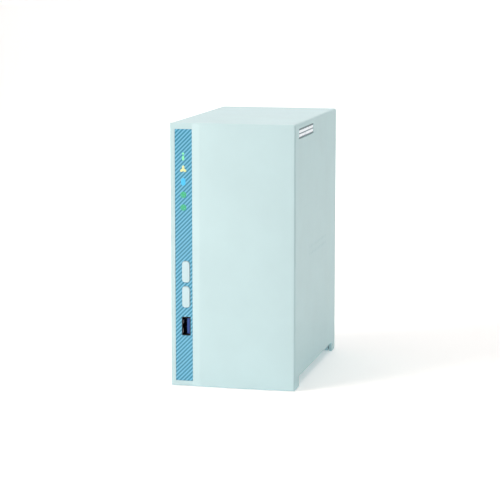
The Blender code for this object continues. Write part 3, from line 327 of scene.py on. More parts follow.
# ---------------------------------------------------------------- materials
class Shader:
    """A small wrapper for building one node material."""

    def __init__(self, name, roughness, metallic=0.0, coat=0.0, coat_roughness=0.05, specular=0.5):
        self.material = bpy.data.materials.new(name)
        self.material.use_nodes = True
        self.tree = self.material.node_tree
        self.shader = self.tree.nodes["Principled BSDF"]
        values = {
            "Roughness": roughness,
            "Metallic": metallic,
            "Coat Weight": coat,
            "Coat Roughness": coat_roughness,
            "Specular IOR Level": specular,
        }
        for socket, value in values.items():
            self.shader.inputs[socket].default_value = value
        self.place = self.node("ShaderNodeTexCoord").outputs["Object"]

    def node(self, kind, **settings):
        made_node = self.tree.nodes.new(kind)
        for key, value in settings.items():
            setattr(made_node, key, value)
        return made_node

    def link(self, output, target):
        self.tree.links.new(output, target)

    def noise(self, size, detail=2.0, stretch=None):
        """Noise of a given grain. stretch scales each axis, for patterns longer one way than another."""
        place = self.place
        if stretch:
            mapping = self.node("ShaderNodeMapping")
            mapping.inputs["Scale"].default_value = stretch
            self.link(place, mapping.inputs["Vector"])
            place = mapping.outputs["Vector"]
        noise = self.node("ShaderNodeTexNoise")
        noise.inputs["Scale"].default_value = 1 / size
        noise.inputs["Detail"].default_value = detail
        self.link(place, noise.inputs["Vector"])
        return noise.outputs["Fac"]

    def cells(self, size, **settings):
        cells = self.node("ShaderNodeTexVoronoi", **settings)
        cells.inputs["Scale"].default_value = 1 / size
        self.link(self.place, cells.inputs["Vector"])
        return cells

    def maths(self, operation, first, second=None):
        sums = self.node("ShaderNodeMath", operation=operation)
        for socket, value in zip(sums.inputs, (first, second)):
            if isinstance(value, (int, float)):
                socket.default_value = value
            elif value is not None:
                self.link(value, socket)
        return sums.outputs[0]

    def spread(self, value, low, high, from_low=0.3, from_high=0.7):
        """Maps a value that varies from from_low to from_high onto low to high."""
        ramp = self.node("ShaderNodeMapRange")
        for socket, number in zip(("From Min", "From Max", "To Min", "To Max"),
                (from_low, from_high, low, high)):
            ramp.inputs[socket].default_value = number
        self.link(value, ramp.inputs["Value"])
        return ramp.outputs["Result"]

    def mix(self, share, first, second):
        blend = self.node("ShaderNodeMix", data_type="RGBA")
        self.link(share, blend.inputs["Factor"])
        for socket, value in ((blend.inputs[6], first), (blend.inputs[7], second)):
            if isinstance(value, tuple):
                socket.default_value = (*value, 1.0)
            else:
                self.link(value, socket)
        return blend.outputs[2]

    def shades(self, size, detail, colour, low, high):
        """The colour, wandering between two brightnesses."""
        return self.mix(self.spread(self.noise(size, detail), 0.0, 1.0), tinted(colour, low),
            tinted(colour, high))

    def colour(self, value):
        self.link(value, self.shader.inputs["Base Color"])

    def roughness(self, value):
        self.link(value, self.shader.inputs["Roughness"])

    def bump(self, height, depth):
        bump = self.node("ShaderNodeBump")
        bump.inputs["Distance"].default_value = depth
        bump.inputs["Strength"].default_value = 1.0
        self.link(height, bump.inputs["Height"])
        self.link(bump.outputs["Normal"], self.shader.inputs["Normal"])


def tinted(colour, share):
    return tuple(min(1.0, c * share) for c in colour)


def moulded(name, colour, roughness, grain=0.25 * MM, depth=0.006 * MM, mottle=0.02):
    """Moulded plastic: a fine eroded grain, faint flow marks in the colour, and uneven gloss."""
    s = Shader(name, roughness)
    s.colour(s.shades(28 * MM, 3.0, colour, 1 - mottle, 1 + mottle))
    s.roughness(s.spread(s.noise(3 * MM, 4.0), roughness - 0.03, roughness + 0.04))
    s.bump(s.noise(grain, 2.0), depth)
    return s.material


def striped(name, dark, light):
    """Printed slanting stripes under a clear gloss coat."""
    s = Shader(name, 0.32, coat=0.35, coat_roughness=0.08)
    parts = s.node("ShaderNodeSeparateXYZ")
    s.link(s.place, parts.inputs[0])
    across = s.maths("SUBTRACT", parts.outputs["Z"], parts.outputs["X"])
    phase = s.maths("FRACT", s.maths("DIVIDE", across, STRIPE_PITCH))
    wave = s.maths("ABSOLUTE", s.maths("SUBTRACT", phase, 0.5))
    edge = s.spread(wave, 0.0, 1.0, 0.25 - 0.02, 0.25 + 0.02)
    s.colour(s.mix(edge, s.shades(9 * MM, 3.0, dark, 0.95, 1.05), light))
    s.bump(s.noise(0.4 * MM, 2.0), 0.003 * MM)
    return s.material


def metal(name, colour, roughness, brush=None, depth=0.004 * MM, grain=0.3 * MM):
    """Metal with brush marks along one axis, or an even fine grain."""
    s = Shader(name, roughness, metallic=1.0)
    marks = s.noise(grain, 3.0, brush)
    s.colour(s.shades(12 * MM, 3.0, colour, 0.94, 1.04))
    s.roughness(s.spread(marks, roughness - 0.06, roughness + 0.08))
    s.bump(marks, depth)
    return s.material


def spangled(name, colour):
    """Zinc-plated sheet: flat crystal facets of slightly different brightness."""
    s = Shader(name, 0.42, metallic=1.0)
    shade = s.node("ShaderNodeSeparateColor")
    s.link(s.cells(3 * MM).outputs["Color"], shade.inputs[0])
    s.colour(s.mix(shade.outputs[0], tinted(colour, 0.92), tinted(colour, 1.06)))
    s.roughness(s.spread(shade.outputs[1], 0.38, 0.46, 0.0, 1.0))
    s.bump(s.noise(0.5 * MM, 2.0), 0.004 * MM)
    return s.material


def solder_mask(name, colour):
    """A circuit board: mask over copper runs that turn at right angles, with rows of tinned through-holes."""
    s = Shader(name, 0.35, coat=0.3, coat_roughness=0.15)
    wander = s.cells(11 * MM, distance="CHEBYCHEV")
    wander.inputs["Randomness"].default_value = 0.8
    rings = s.maths("FRACT", s.maths("MULTIPLY", wander.outputs["Distance"], 7.0))
    runs = s.spread(s.maths("ABSOLUTE", s.maths("SUBTRACT", rings, 0.5)), 0.0, 1.0, 0.22, 0.26)
    holes = s.spread(s.cells(2.6 * MM).outputs["Distance"], 1.0, 0.0, 0.07, 0.10)
    mask = s.shades(14 * MM, 3.0, colour, 0.85, 1.10)
    s.colour(s.mix(holes, s.mix(runs, mask, tinted(colour, 1.45)), (0.50, 0.49, 0.42)))
    s.bump(runs, 0.02 * MM)
    return s.material


def glowing(name, colour, strength):
    """A lit legend: coloured light through a diffusing layer."""
    s = Shader(name, 0.35)
    s.colour(s.shades(1.2 * MM, 2.0, colour, 0.92, 1.0))
    s.shader.inputs["Emission Color"].default_value = (*colour, 1.0)
    s.shader.inputs["Emission Strength"].default_value = strength
    return s.material


def clear(name):
    """Clear moulded plastic with faint flow marks."""
    s = Shader(name, 0.12)
    s.colour(s.mix(s.spread(s.noise(6 * MM, 2.0), 0.0, 1.0), (0.86, 0.93, 0.94), (0.93, 0.97, 0.98)))
    s.shader.inputs["Transmission Weight"].default_value = 0.9
    s.bump(s.noise(2 * MM, 2.0), 0.01 * MM)
    return s.material


BODY_COLOUR = (0.535, 0.755, 0.800)
SHELL = moulded("shell_plastic", BODY_COLOUR, 0.42)
INNER = moulded("inner_plastic", tinted(BODY_COLOUR, 0.96), 0.50)
KEY = moulded("key_plastic", (0.560, 0.785, 0.850), 0.36, depth=0.003 * MM)
STRIPES = striped("striped_print", (0.024, 0.262, 0.430), (0.170, 0.540, 0.760))
BLACK = moulded("dark_plastic", (0.018, 0.018, 0.020), 0.42, mottle=0.10)
BLUE = moulded("socket_blue", (0.012, 0.070, 0.330), 0.40, mottle=0.06)
WHITE = moulded("pale_plastic", (0.76, 0.76, 0.73), 0.45)
RUBBER = moulded("soft_rubber", (0.045, 0.047, 0.050), 0.82, grain=0.6 * MM, depth=0.02 * MM, mottle=0.15)
SHEATH = moulded("lead_sheath", (0.022, 0.022, 0.024), 0.50, mottle=0.12)
NICKEL = metal("nickel_plate", (0.66, 0.66, 0.67), 0.26)
SCREW = metal("screw_steel", (0.60, 0.60, 0.62), 0.30, grain=0.15 * MM)
ZINC = spangled("zinc_plated_sheet", (0.55, 0.57, 0.59))
CASTING = metal("cast_aluminium", (0.62, 0.63, 0.64), 0.48, grain=0.5 * MM, depth=0.02 * MM)
MACHINED = metal("machined_aluminium", (0.80, 0.81, 0.82), 0.26, brush=(1.0, 0.06, 1.0), grain=0.2 * MM)
BADGE = metal("brushed_badge", (0.80, 0.85, 0.90), 0.30, brush=(1.0, 0.03, 1.0), grain=0.12 * MM)
# The nameplate's dark colour is partly painted shade for the recess shadow along its edges, and partly the
# plate's own darker tone between its bars.
SHADE_PAINTED_BADGE = metal("badge_with_painted_shade", (0.070, 0.155, 0.180), 0.38, brush=(1.0, 0.03, 1.0), grain=0.12 * MM)
DARK_NICKEL = metal("dark_nickel", (0.070, 0.070, 0.075), 0.34)
GOLD = metal("gold_contact", (0.85, 0.62, 0.26), 0.24)
COPPER = metal("copper_winding", (0.72, 0.34, 0.14), 0.30, grain=0.25 * MM, depth=0.03 * MM)
BOARD = solder_mask("circuit_board", (0.018, 0.125, 0.060))
RED_WIRE = moulded("red_wire", (0.420, 0.020, 0.018), 0.45, mottle=0.08)
YELLOW_WIRE = moulded("yellow_wire", (0.640, 0.430, 0.030), 0.45, mottle=0.08)
CERAMIC = moulded("ceramic_tan", (0.330, 0.215, 0.120), 0.50, mottle=0.20)
EPOXY = moulded("chip_epoxy", (0.020, 0.020, 0.021), 0.58, grain=0.1 * MM, mottle=0.12)
FERRITE = moulded("ferrite_grey", (0.070, 0.072, 0.076), 0.60, grain=0.2 * MM, depth=0.02 * MM, mottle=0.12)
PAPER = moulded("label_paper", (0.800, 0.800, 0.780), 0.62, grain=0.4 * MM, mottle=0.03)
RIBBON = moulded("ribbon_grey", (0.480, 0.490, 0.500), 0.48, mottle=0.05)
TIN = metal("tinned_solder", (0.70, 0.70, 0.71), 0.34, grain=0.2 * MM, depth=0.01 * MM)
ANODISED = metal("anodised_sink", (0.42, 0.43, 0.45), 0.42, brush=(1.0, 1.0, 0.05), grain=0.2 * MM)
LAMP_GREEN = moulded("green_lens", (0.090, 0.420, 0.140), 0.22, mottle=0.06)
LAMP_AMBER = moulded("amber_lens", (0.620, 0.330, 0.040), 0.22, mottle=0.06)
CLEAR = clear("clear_guide")


# ---------------------------------------------------------------- cover
def cover_profile():
    """The cover's section across X: down the right wall, up inside it, and round the left wall."""
    inner_x, inner_top, inner_radius = HALF_WIDTH - WALL, TOP - WALL, 0.6 * MM
    points = [(HALF_WIDTH, COVER_LOW.z)]
    for side, start in ((1, 0.0), (-1, math.pi / 2)):
        corner = (side * (HALF_WIDTH - COVER_RADIUS), TOP - COVER_RADIUS)
        points += arc(*corner, COVER_RADIUS, start, math.pi / 2, 10)
    points += [(-HALF_WIDTH, COVER_LOW.z), (-inner_x, COVER_LOW.z)]
    for side, start in ((-1, math.pi), (1, math.pi / 2)):
        corner = (side * (inner_x - inner_radius), inner_top - inner_radius)
        points += arc(*corner, inner_radius, start, -math.pi / 2, 4)
    return points + [(inner_x, COVER_LOW.z)]


def dimple_field():
    """Two rows of shallow round dimples on the right wall, in place of lettering."""
    radius, depth, pitch = 1.5 * MM, 0.22 * MM, 5.4 * MM
    ball = (radius**2 + depth**2) / (2 * depth)
    bm = bmesh.new()
    for row in (0, 1):
        for column in range(12):
            place = (FRONT + 54.5 * MM + pitch * column, 90.2 * MM + pitch * row)
            profile = [(0.0, HALF_WIDTH - depth)]
            for i in range(1, 9):
                reach = radius * i / 8
                profile.append((reach, HALF_WIDTH - depth + ball - math.sqrt(ball**2 - reach**2)))
            profile += [(radius * 1.002, HALF_WIDTH + 1 * MM), (0.0, HALF_WIDTH + 1 * MM)]
            turned(bm, profile, "X", place, 28)
    return bm


def make_cover():
    cover = piece("cover_shell", prism(cover_profile(), "Y", COVER_LOW.y, COVER_HIGH.y), SHELL)
    length, middle = REAR_FOOT_Y - FRONT_FOOT_Y, (REAR_FOOT_Y + FRONT_FOOT_Y) / 2
    cut(cover, prism(rounded(length, 2 * SIDE_EDGE_Z, FOOT_FILLET, middle, 0.0), "X", -0.1, 0.1))
    recess = rounded(PLATE_SIZE[0] + 0.4 * MM, PLATE_SIZE[1] + 0.4 * MM, 0.5 * MM, PLATE_Y, PLATE_Z)
    cut(cover, prism(recess, "X", HALF_WIDTH - 0.9 * MM, 0.1))
    tab_low, tab_high, tab_top = REAR_FACE + 0.3 * MM, REAR_FACE + 2.1 * MM, TOP - WALL + 0.5 * MM
    for screw in ("cover_screw_left", "cover_screw_right"):
        x, z = centre_of(screw)
        tab = rounded(13 * MM, tab_top - z + 4.2 * MM, 2 * MM, x, (tab_top + z - 4.2 * MM) / 2)
        join(cover, prism(tab, "Y", tab_low, tab_high))
        cut(cover, prism(circle(1.8 * MM, x, z), "Y", tab_low - 1 * MM, tab_high + 1 * MM))
    soften(cover, 0.28 * MM)
    cut(cover, dimple_field())
    show(soften(cover, angle=30), "body_plastic", "outer_cover", body="cover")


def make_nameplate():
    """A blank plate coloured dark, partly as painted shade for the recess shadow along its edges and partly
    for its own darker tone between the bars, with two bright rolled bars along it, each broken once.
    """
    face = PLATE_LOW.x + 0.45 * MM
    # The plate is coloured dark: painted shade for the recess shadow along its edges, and its own darker tone
    # between the bars.
    base = prism(rounded(*PLATE_SIZE, 0.4 * MM, PLATE_Y, PLATE_Z), "X", PLATE_LOW.x, face)
    made("nameplate_blank", base, SHADE_PAINTED_BADGE, "bright_metal", "nameplate", body="cover", edge=0.12 * MM)
    bars = bmesh.new()
    gap, end = 0.5 * MM, PLATE_SIZE[0] / 2 - 0.7 * MM
    for offset, split in ((-1.35 * MM, -4.0 * MM), (1.35 * MM, 9.0 * MM)):
        for low, high in ((-end, split - gap), (split + gap, end)):
            bar = rounded(high - low, 1.9 * MM, 0.5 * MM, PLATE_Y + (low + high) / 2, PLATE_Z + offset, 4)
            slab(bars, bar, "X", face - 0.05 * MM, PLATE_HIGH.x)
    made("nameplate_bars", bars, BADGE, "bright_metal", body="cover", edge=0.1 * MM)


def make_thumbscrews():
    """Knurled captive screws: a knurled head with a slot, and a shank."""
    head_y, teeth = REAR_FACE + 2.2 * MM, 30
    for name in ("cover_screw_left", "cover_screw_right"):
        low, high = node_box(name)
        x, z = centre_of(name)
        outline = []
        for i in range(teeth * 4):
            reach = 3.45 * MM + 0.12 * MM * math.cos(TAU * i / 4)
            angle = TAU * i / (teeth * 4)
            outline.append((x + reach * math.cos(angle), z + reach * math.sin(angle)))
        screw = piece(f"{name}_knurled", prism(outline, "Y", head_y, high.y), SCREW)
        shank = [(0.0, low.y), (1.0 * MM, low.y), (1.4 * MM, low.y + 0.6 * MM)]
        shank += [(1.4 * MM, head_y + 0.3 * MM), (0.0, head_y + 0.3 * MM)]
        join(screw, lathe(shank, "Y", (x, z), 32))
        slot_low = (x - 3.0 * MM, high.y - 1.0 * MM, z - 0.45 * MM)
        cut(screw, block(slot_low, (x + 3.0 * MM, high.y + 1.0 * MM, z + 0.45 * MM)))
        show(soften(screw, 0.08 * MM, 2, 50), "steel", name, body="cover")


# ---------------------------------------------------------------- front
def edge_depth(distance, radius):
    if distance >= radius:
        return 0.0
    return radius - math.sqrt(max(0.0, radius**2 - (radius - distance) ** 2))


def bezel_depth(x):
    """The bezel's face along X, apart from its rounded border: the column, the slope, and the bowed panel."""
    if x <= SLOPE_X:
        return COLUMN_Y
    if x < PANEL_X:
        share = (x - SLOPE_X) / (PANEL_X - SLOPE_X)
        return COLUMN_Y + share * (FRONT + PANEL_BOW - COLUMN_Y)
    across = 2 * (x - PANEL_X) / (HALF_WIDTH - PANEL_X) - 1
    return FRONT + PANEL_BOW * across**2


def spaced(low, high, count):
    return [low + (high - low) * i / count for i in range(count + 1)]


def bezel_face():
    """The bezel's front sheet on a grid that is denser at its rounded border, closed by a flat back."""
    low_z, high_z = BEZEL_LOW.z, BEZEL_HIGH.z
    border = [BEZEL_RADIUS * (1 - math.sin(math.pi / 2 * (1 - i / 7))) for i in range(8)]
    fillet = 0.25 * MM
    xs = [-HALF_WIDTH + d for d in border]
    xs += [STRIP_LOW.x, STRIP_HIGH.x, SLOPE_X - fillet, SLOPE_X + fillet, PANEL_X - fillet, PANEL_X + fillet]
    xs += spaced(PANEL_X + 1 * MM, HALF_WIDTH - 2 * BEZEL_RADIUS, 36)
    xs = sorted(xs + [HALF_WIDTH - d for d in border])
    zs = [low_z + d for d in border] + spaced(low_z + 2 * MM, high_z - 2 * MM, 8)
    zs += [high_z - d for d in reversed(border)]
    bm = bmesh.new()
    grid = []
    for z in zs:
        edge_z = edge_depth(min(z - low_z, high_z - z), BEZEL_RADIUS)
        row = []
        for x in xs:
            edge_x = edge_depth(HALF_WIDTH - abs(x), BEZEL_RADIUS)
            row.append(bm.verts.new((x, bezel_depth(x) + math.hypot(edge_x, edge_z), z)))
        grid.append(row)
    for lower, upper in zip(grid, grid[1:]):
        for i in range(len(xs) - 1):
            bm.faces.new((lower[i], lower[i + 1], upper[i + 1], upper[i]))
    rim = grid[0] + [row[-1] for row in grid[1:]] + grid[-1][-2::-1] + [row[0] for row in grid[-2:0:-1]]
    back = [bm.verts.new((v.co.x, BEZEL_RIM_Y, v.co.z)) for v in rim]
    skin(bm, [rim, back], capped=False)
    bm.faces.new(back)
    return bm


def make_bezel():
    bezel = piece("front_fascia", bezel_face(), SHELL)
    lap_x, lap_low, lap_high = HALF_WIDTH - 2.6 * MM, 11.2 * MM, TOP - 2.6 * MM
    lap_size, lap_z = (2 * lap_x, lap_high - lap_low), (lap_low + lap_high) / 2
    lap = rounded(*lap_size, 0.6 * MM, 0.0, lap_z, 3)
    join(bezel, prism(lap, "Y", BEZEL_RIM_Y - 0.5 * MM, BEZEL_HIGH.y))
    hollow = rounded(lap_size[0] - 3.6 * MM, lap_size[1] - 3.6 * MM, 0.8 * MM, 0.0, lap_z, 3)
    cut(bezel, prism(hollow, "Y", BEZEL_BACK, BEZEL_HIGH.y + 1 * MM))

    gap = 0.12 * MM
    pocket_size = (STRIP_HIGH.x - STRIP_LOW.x + 2 * gap, STRIP_HIGH.z - STRIP_LOW.z + 2 * gap)
    pocket = rounded(*pocket_size, 0.4 * MM, *centre_of("decor_strip"), 4)
    cut(bezel, prism(pocket, "Y", FRONT - 1 * MM, POCKET_Y))
    ends = (FRONT, BEZEL_BACK + 1 * MM)
    keys = rounded(7.8 * MM, POWER_Z - COPY_Z + 18.2 * MM, 1 * MM, CONTROL_X, (POWER_Z + COPY_Z) / 2)
    through = prism(keys, "Y", *ends)
    socket = rounded(USB_SIZE[0] + 0.8 * MM, USB_SIZE[1] + 0.8 * MM, 0.4 * MM, CONTROL_X, USB_Z)
    slab(through, socket, "Y", *ends)
    for z in LAMP_ZS:
        slab(through, circle(2.0 * MM, LAMP_X, z, 24), "Y", *ends)
    cut(bezel, through)
    show(soften(bezel, angle=32), "body_plastic", "front_bezel")


def make_strip():
    """The decor strip: a plate with slanting grooves between its light stripes, and its openings."""
    width, height = STRIP_HIGH.x - STRIP_LOW.x, STRIP_HIGH.z - STRIP_LOW.z
    outline = rounded(width, height, 0.3 * MM, *centre_of("decor_strip"), 4)
    strip = piece("striped_plate", prism(outline, "Y", STRIP_LOW.y, STRIP_HIGH.y), STRIPES)
    openings = bmesh.new()
    for z, size, gap, radius in (
        (POWER_Z, CAP_SIZE, 0.4 * MM, CAP_RADIUS + 0.2 * MM),
        (COPY_Z, CAP_SIZE, 0.4 * MM, CAP_RADIUS + 0.2 * MM),
        (USB_Z, USB_SIZE, 0.5 * MM, 0.4 * MM),
    ):
        hole = rounded(size[0] + gap, size[1] + gap, radius, CONTROL_X, z)
        slab(openings, hole, "Y", FRONT - 1 * MM, STRIP_HIGH.y + 1 * MM)
    cut(strip, openings)
    soften(strip, 0.10 * MM, 2, 50)
    grooves = bmesh.new()
    first = math.ceil((STRIP_LOW.z - STRIP_HIGH.x) / STRIPE_PITCH) - 1
    last = math.ceil((STRIP_HIGH.z - STRIP_LOW.x) / STRIPE_PITCH)
    left, right = STRIP_LOW.x - 0.3 * MM, STRIP_HIGH.x + 0.3 * MM
    half = STRIPE_PITCH * STRIPE_SHARE / 2
    for number in range(first, last + 1):
        middle = (number + 0.5) * STRIPE_PITCH
        low, high = middle - half, middle + half
        slant = [(left, left + low), (right, right + low), (right, right + high), (left, left + high)]
        slab(grooves, slant, "Y", FRONT - 1 * MM, STRIP_LOW.y + STRIPE_DEPTH)
    cut(strip, grooves)
    show(soften(strip, angle=30), "strip_blue", "decor_strip")


def make_keys():
    """The two keys: a long pad with a soft edge, a flange and a stem."""
    flange_y = STRIP_HIGH.y + 0.3 * MM
    for name, z in (("power_button", POWER_Z), ("copy_button", COPY_Z)):
        low, high = node_box(name)
        pad = prism(rounded(*CAP_SIZE, CAP_RADIUS, CONTROL_X, z), "Y", low.y, flange_y + 0.4 * MM)
        key = soften(piece(f"{name}_key", pad, KEY), 0.45 * MM, 5, 50)
        flange = rounded(7.2 * MM, 17.4 * MM, 0.8 * MM, CONTROL_X, z)
        join(key, prism(flange, "Y", flange_y, flange_y + 0.8 * MM))
        join(key, prism(circle(1.7 * MM, CONTROL_X, z, 32), "Y", flange_y + 0.3 * MM, high.y))
        show(soften(key, angle=30), "button_plastic", name, body=name)


def make_legends():
    """Plain lit signs, top to bottom: a dot over a bar, three lobes, an oval, and a ring for each drive."""
    green, pale_green, yellow, cyan = (0.05, 0.50, 0.20), (0.22, 0.74, 0.38), (0.66, 0.72, 0.36), (0.06,
        0.52, 0.90)
    low, high = STRIP_LOW.y - 0.06 * MM, STRIP_LOW.y + 0.30 * MM
    lobes = []
    for i in range(72):
        angle = TAU * i / 72
        reach = 1.75 - 0.75 * math.sin(3 * angle)
        lobes.append((reach * math.cos(angle), 1.15 * reach * math.sin(angle)))
    signs = (
        ("status_sign", [circle(0.8, 0, 2.1, 24), rounded(1.5, 3.4, 0.6, 0, -1.0)], pale_green, 0.30),
        ("network_sign", [lobes], yellow, 0.25),
        ("socket_sign", [rounded(3.2, 5.2, 1.55, 0, 0.2)], cyan, 0.20),
    )
    for z, (name, outlines, colour, strength) in zip(LAMP_ZS, signs):
        placed = [[(LAMP_X + u * MM, z + v * MM) for u, v in outline] for outline in outlines]
        sign = piece(name, prism(placed[0], "Y", low, high), glowing(f"{name}_light", colour, strength))
        for outline in placed[1:]:
            join(sign, prism(outline, "Y", low, high))
        show(soften(sign), "clear_acrylic")
    outer, inner = 2.15 * MM, 2.15 * MM - 0.75 * MM
    for number, z in enumerate(LAMP_ZS[3:], 1):
        finish = glowing(f"drive_sign_{number}_light", green, 0.20)
        bm = bmesh.new()
        rings = []
        for radius, y in ((outer, low), (outer, high), (inner, high), (inner, low)):
            rings.append([bm.verts.new((x, y, level)) for x, level in circle(radius, LAMP_X, z)])
        skin(bm, rings + rings[:1], capped=False)
        made(f"drive_sign_{number}", bm, finish, "clear_acrylic")
        pip = prism(circle(1.05 * MM, LAMP_X, z, 28), "Y", low, high)
        made(f"drive_pip_{number}", pip, finish, "clear_acrylic")


# ---------------------------------------------------------------- sockets
def make_usb(name, inward, shell_finish, tongue_finish, tongue_slot):
    """A type A socket on edge: a folded shell with spring tongues, a contact block and contacts."""
    low, high = node_box(f"{name}_shell")
    x, z = centre_of(f"{name}_shell")
    length = high.y - low.y
    mouth = low.y if inward > 0 else high.y
    width, height = USB_SIZE

    def inside(near, far):
        return sorted((mouth + inward * near, mouth + inward * far))

    shell = piece(f"{name}_folded_shell", prism(rounded(width, height, 0.7 * MM, x, z, 5), "Y", low.y,
        high.y), shell_finish)
    bore = rounded(width - 2 * USB_WALL, height - 2 * USB_WALL, 0.4 * MM, x, z, 5)
    cut(shell, prism(bore, "Y", *sorted((mouth - inward * 1 * MM, mouth + inward * (length - USB_WALL)))))
    slots = bmesh.new()
    ends = inside(4 * MM, 9 * MM)
    for offset in (-3.2 * MM, 3.2 * MM):
        for edge in (-0.9 * MM, 0.9 * MM):
            slot_z = z + offset + edge
            slot_low = (low.x - 1 * MM, ends[0], slot_z - 0.15 * MM)
            cuboid(slots, slot_low, (low.x + 1 * MM, ends[1], slot_z + 0.15 * MM))
    cut(shell, slots)
    show(soften(shell, 0.08 * MM, 2, 50), "steel", f"{name}_shell")

    inner_right = high.x - USB_WALL
    ends = inside(1.3 * MM, length - 1.2 * MM)
    leaf = block((inner_right - 2.2 * MM, ends[0], z - 5.5 * MM),
        (inner_right - 0.3 * MM, ends[1], z + 5.5 * MM))
    tongue = piece(f"{name}_contact_block", leaf, tongue_finish)
    ends = inside(length - 4.0 * MM, length - 0.8 * MM)
    root_low = (low.x + USB_WALL + 0.2 * MM, ends[0], low.z + USB_WALL + 0.2 * MM)
    join(tongue, block(root_low, (inner_right - 0.2 * MM, ends[1], high.z - USB_WALL - 0.2 * MM)))
    show(soften(tongue, 0.2 * MM, 3, 50), tongue_slot, f"{name}_tongue")
    ends = inside(2.2 * MM, 12 * MM)
    for number in range(4):
        contact_z = z + (number - 1.5) * 2.2 * MM
        contact_low = (inner_right - 2.32 * MM, ends[0], contact_z - 0.45 * MM)
        contact = block(contact_low, (inner_right - 2.12 * MM, ends[1], contact_z + 0.45 * MM))
        made(f"{name}_contact_{number + 1}", contact, GOLD, "steel", edge=0.06 * MM)
    springs = bmesh.new()
    wall = low.x + USB_WALL
    bow = ((1.2, 0.05), (3.0, 0.30), (6.0, 0.55), (9.0, 0.30), (10.5, 0.05))
    bowed = [(wall + rise * MM, mouth + inward * depth * MM) for depth, rise in bow]
    outline = bowed + [(u + 0.2 * MM, v) for u, v in reversed(bowed)]
    for offset in (-3.2 * MM, 3.2 * MM):
        slab(springs, outline, "Z", z + offset - 1.6 * MM, z + offset + 1.6 * MM)
    made(f"{name}_springs", springs, NICKEL, "steel", edge=0.05 * MM)


# ---------------------------------------------------------------- base
def make_base():
    """The base pan keeps its own shape, with moulded edges. Its four pads are turned from rubber."""
    dress(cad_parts["base_pan"], INNER, 0.25 * MM)
    lip = 0.35 * MM
    for end in ("front", "rear"):
        for side in ("left", "right"):
            name = f"foot_pad_{end}_{side}"
            low, high = node_box(name)
            place, radius = ((low.x + high.x) / 2, (low.y + high.y) / 2), (high.x - low.x) / 2
            profile = [(0.0, low.z), (radius - lip, low.z), (radius - 0.1 * MM, low.z + 0.12 * MM)]
            profile += [(radius, low.z + lip), (radius, high.z), (0.0, high.z)]
            made(f"{name}_rubber", lathe(profile, "Z", place, 56), RUBBER, "rubber", name)


# ---------------------------------------------------------------- rear
def grille_centres():
    step_x, step_z = GRILLE_PITCH, GRILLE_PITCH * math.sqrt(3) / 2
    rows = int(GRILLE_RADIUS / step_z) + 1
    for row in range(-rows, rows + 1):
        for column in range(-rows, rows + 1):
            x, z = (column + 0.5 * (row % 2)) * step_x, row * step_z
            if math.hypot(x, z) <= GRILLE_RADIUS - GRILLE_HOLE / 2:
                yield FAN_X + x, FAN_Z + z


def make_rear():
    """The rear wall: a shallow tray with a honeycomb grille, a sunk port field and its openings."""
    middle_z = (REAR_LOW.z + REAR_HIGH.z) / 2
    size_x, size_z = REAR_HIGH.x - REAR_LOW.x, REAR_HIGH.z - REAR_LOW.z
    outline = rounded(size_x, size_z, 0.8 * MM, 0.0, middle_z, 4)
    wall = piece("rear_wall", prism(outline, "Y", REAR_LOW.y, REAR_FACE), SHELL)
    hollow = rounded(size_x - 3 * MM, size_z - 3 * MM, 0.6 * MM, 0.0, middle_z, 4)
    cut(wall, prism(hollow, "Y", REAR_LOW.y - 1 * MM, REAR_INNER))

    holes = bmesh.new()
    ends = (REAR_INNER - 1 * MM, REAR_FACE + 1 * MM)
    for x, z in grille_centres():
        slab(holes, circle(GRILLE_HOLE / math.sqrt(3), x, z, 6, math.pi / 6), "Y", *ends)
    margin = 0.3 * MM
    for node in ("usb_rear_upper_shell", "usb_rear_lower_shell", "lan_socket", "power_socket"):
        low, high = node_box(node)
        size = (high.x - low.x + 2 * margin, high.z - low.z + 2 * margin)
        slab(holes, rounded(*size, 0.5 * MM, *centre_of(node), 4), "Y", *ends)
    slab(holes, circle(1.3 * MM, *centre_of("reset_plunger"), 24), "Y", *ends)
    slab(holes, rounded(*LOCK_SLOT, 0.8 * MM, *LOCK_CENTRE), "Y", *ends)
    for name in FAN_SCREWS:
        slab(holes, circle(2.3 * MM, *centre_of(name), 24), "Y", *ends)
    for name in ("cover_screw_left", "cover_screw_right"):
        slab(holes, circle(1.7 * MM, *centre_of(name), 24), "Y", *ends)
    cut(wall, holes)
    field_low, field_high = 13 * MM, 88.6 * MM
    field = rounded(16.5 * MM, field_high - field_low, 1.5 * MM, -29.0 * MM, (field_low + field_high) / 2)
    cut(wall, prism(field, "Y", REAR_FACE - 0.5 * MM, REAR_FACE + 1 * MM))
    show(soften(wall, 0.22 * MM, 2), "body_plastic", "rear_panel")


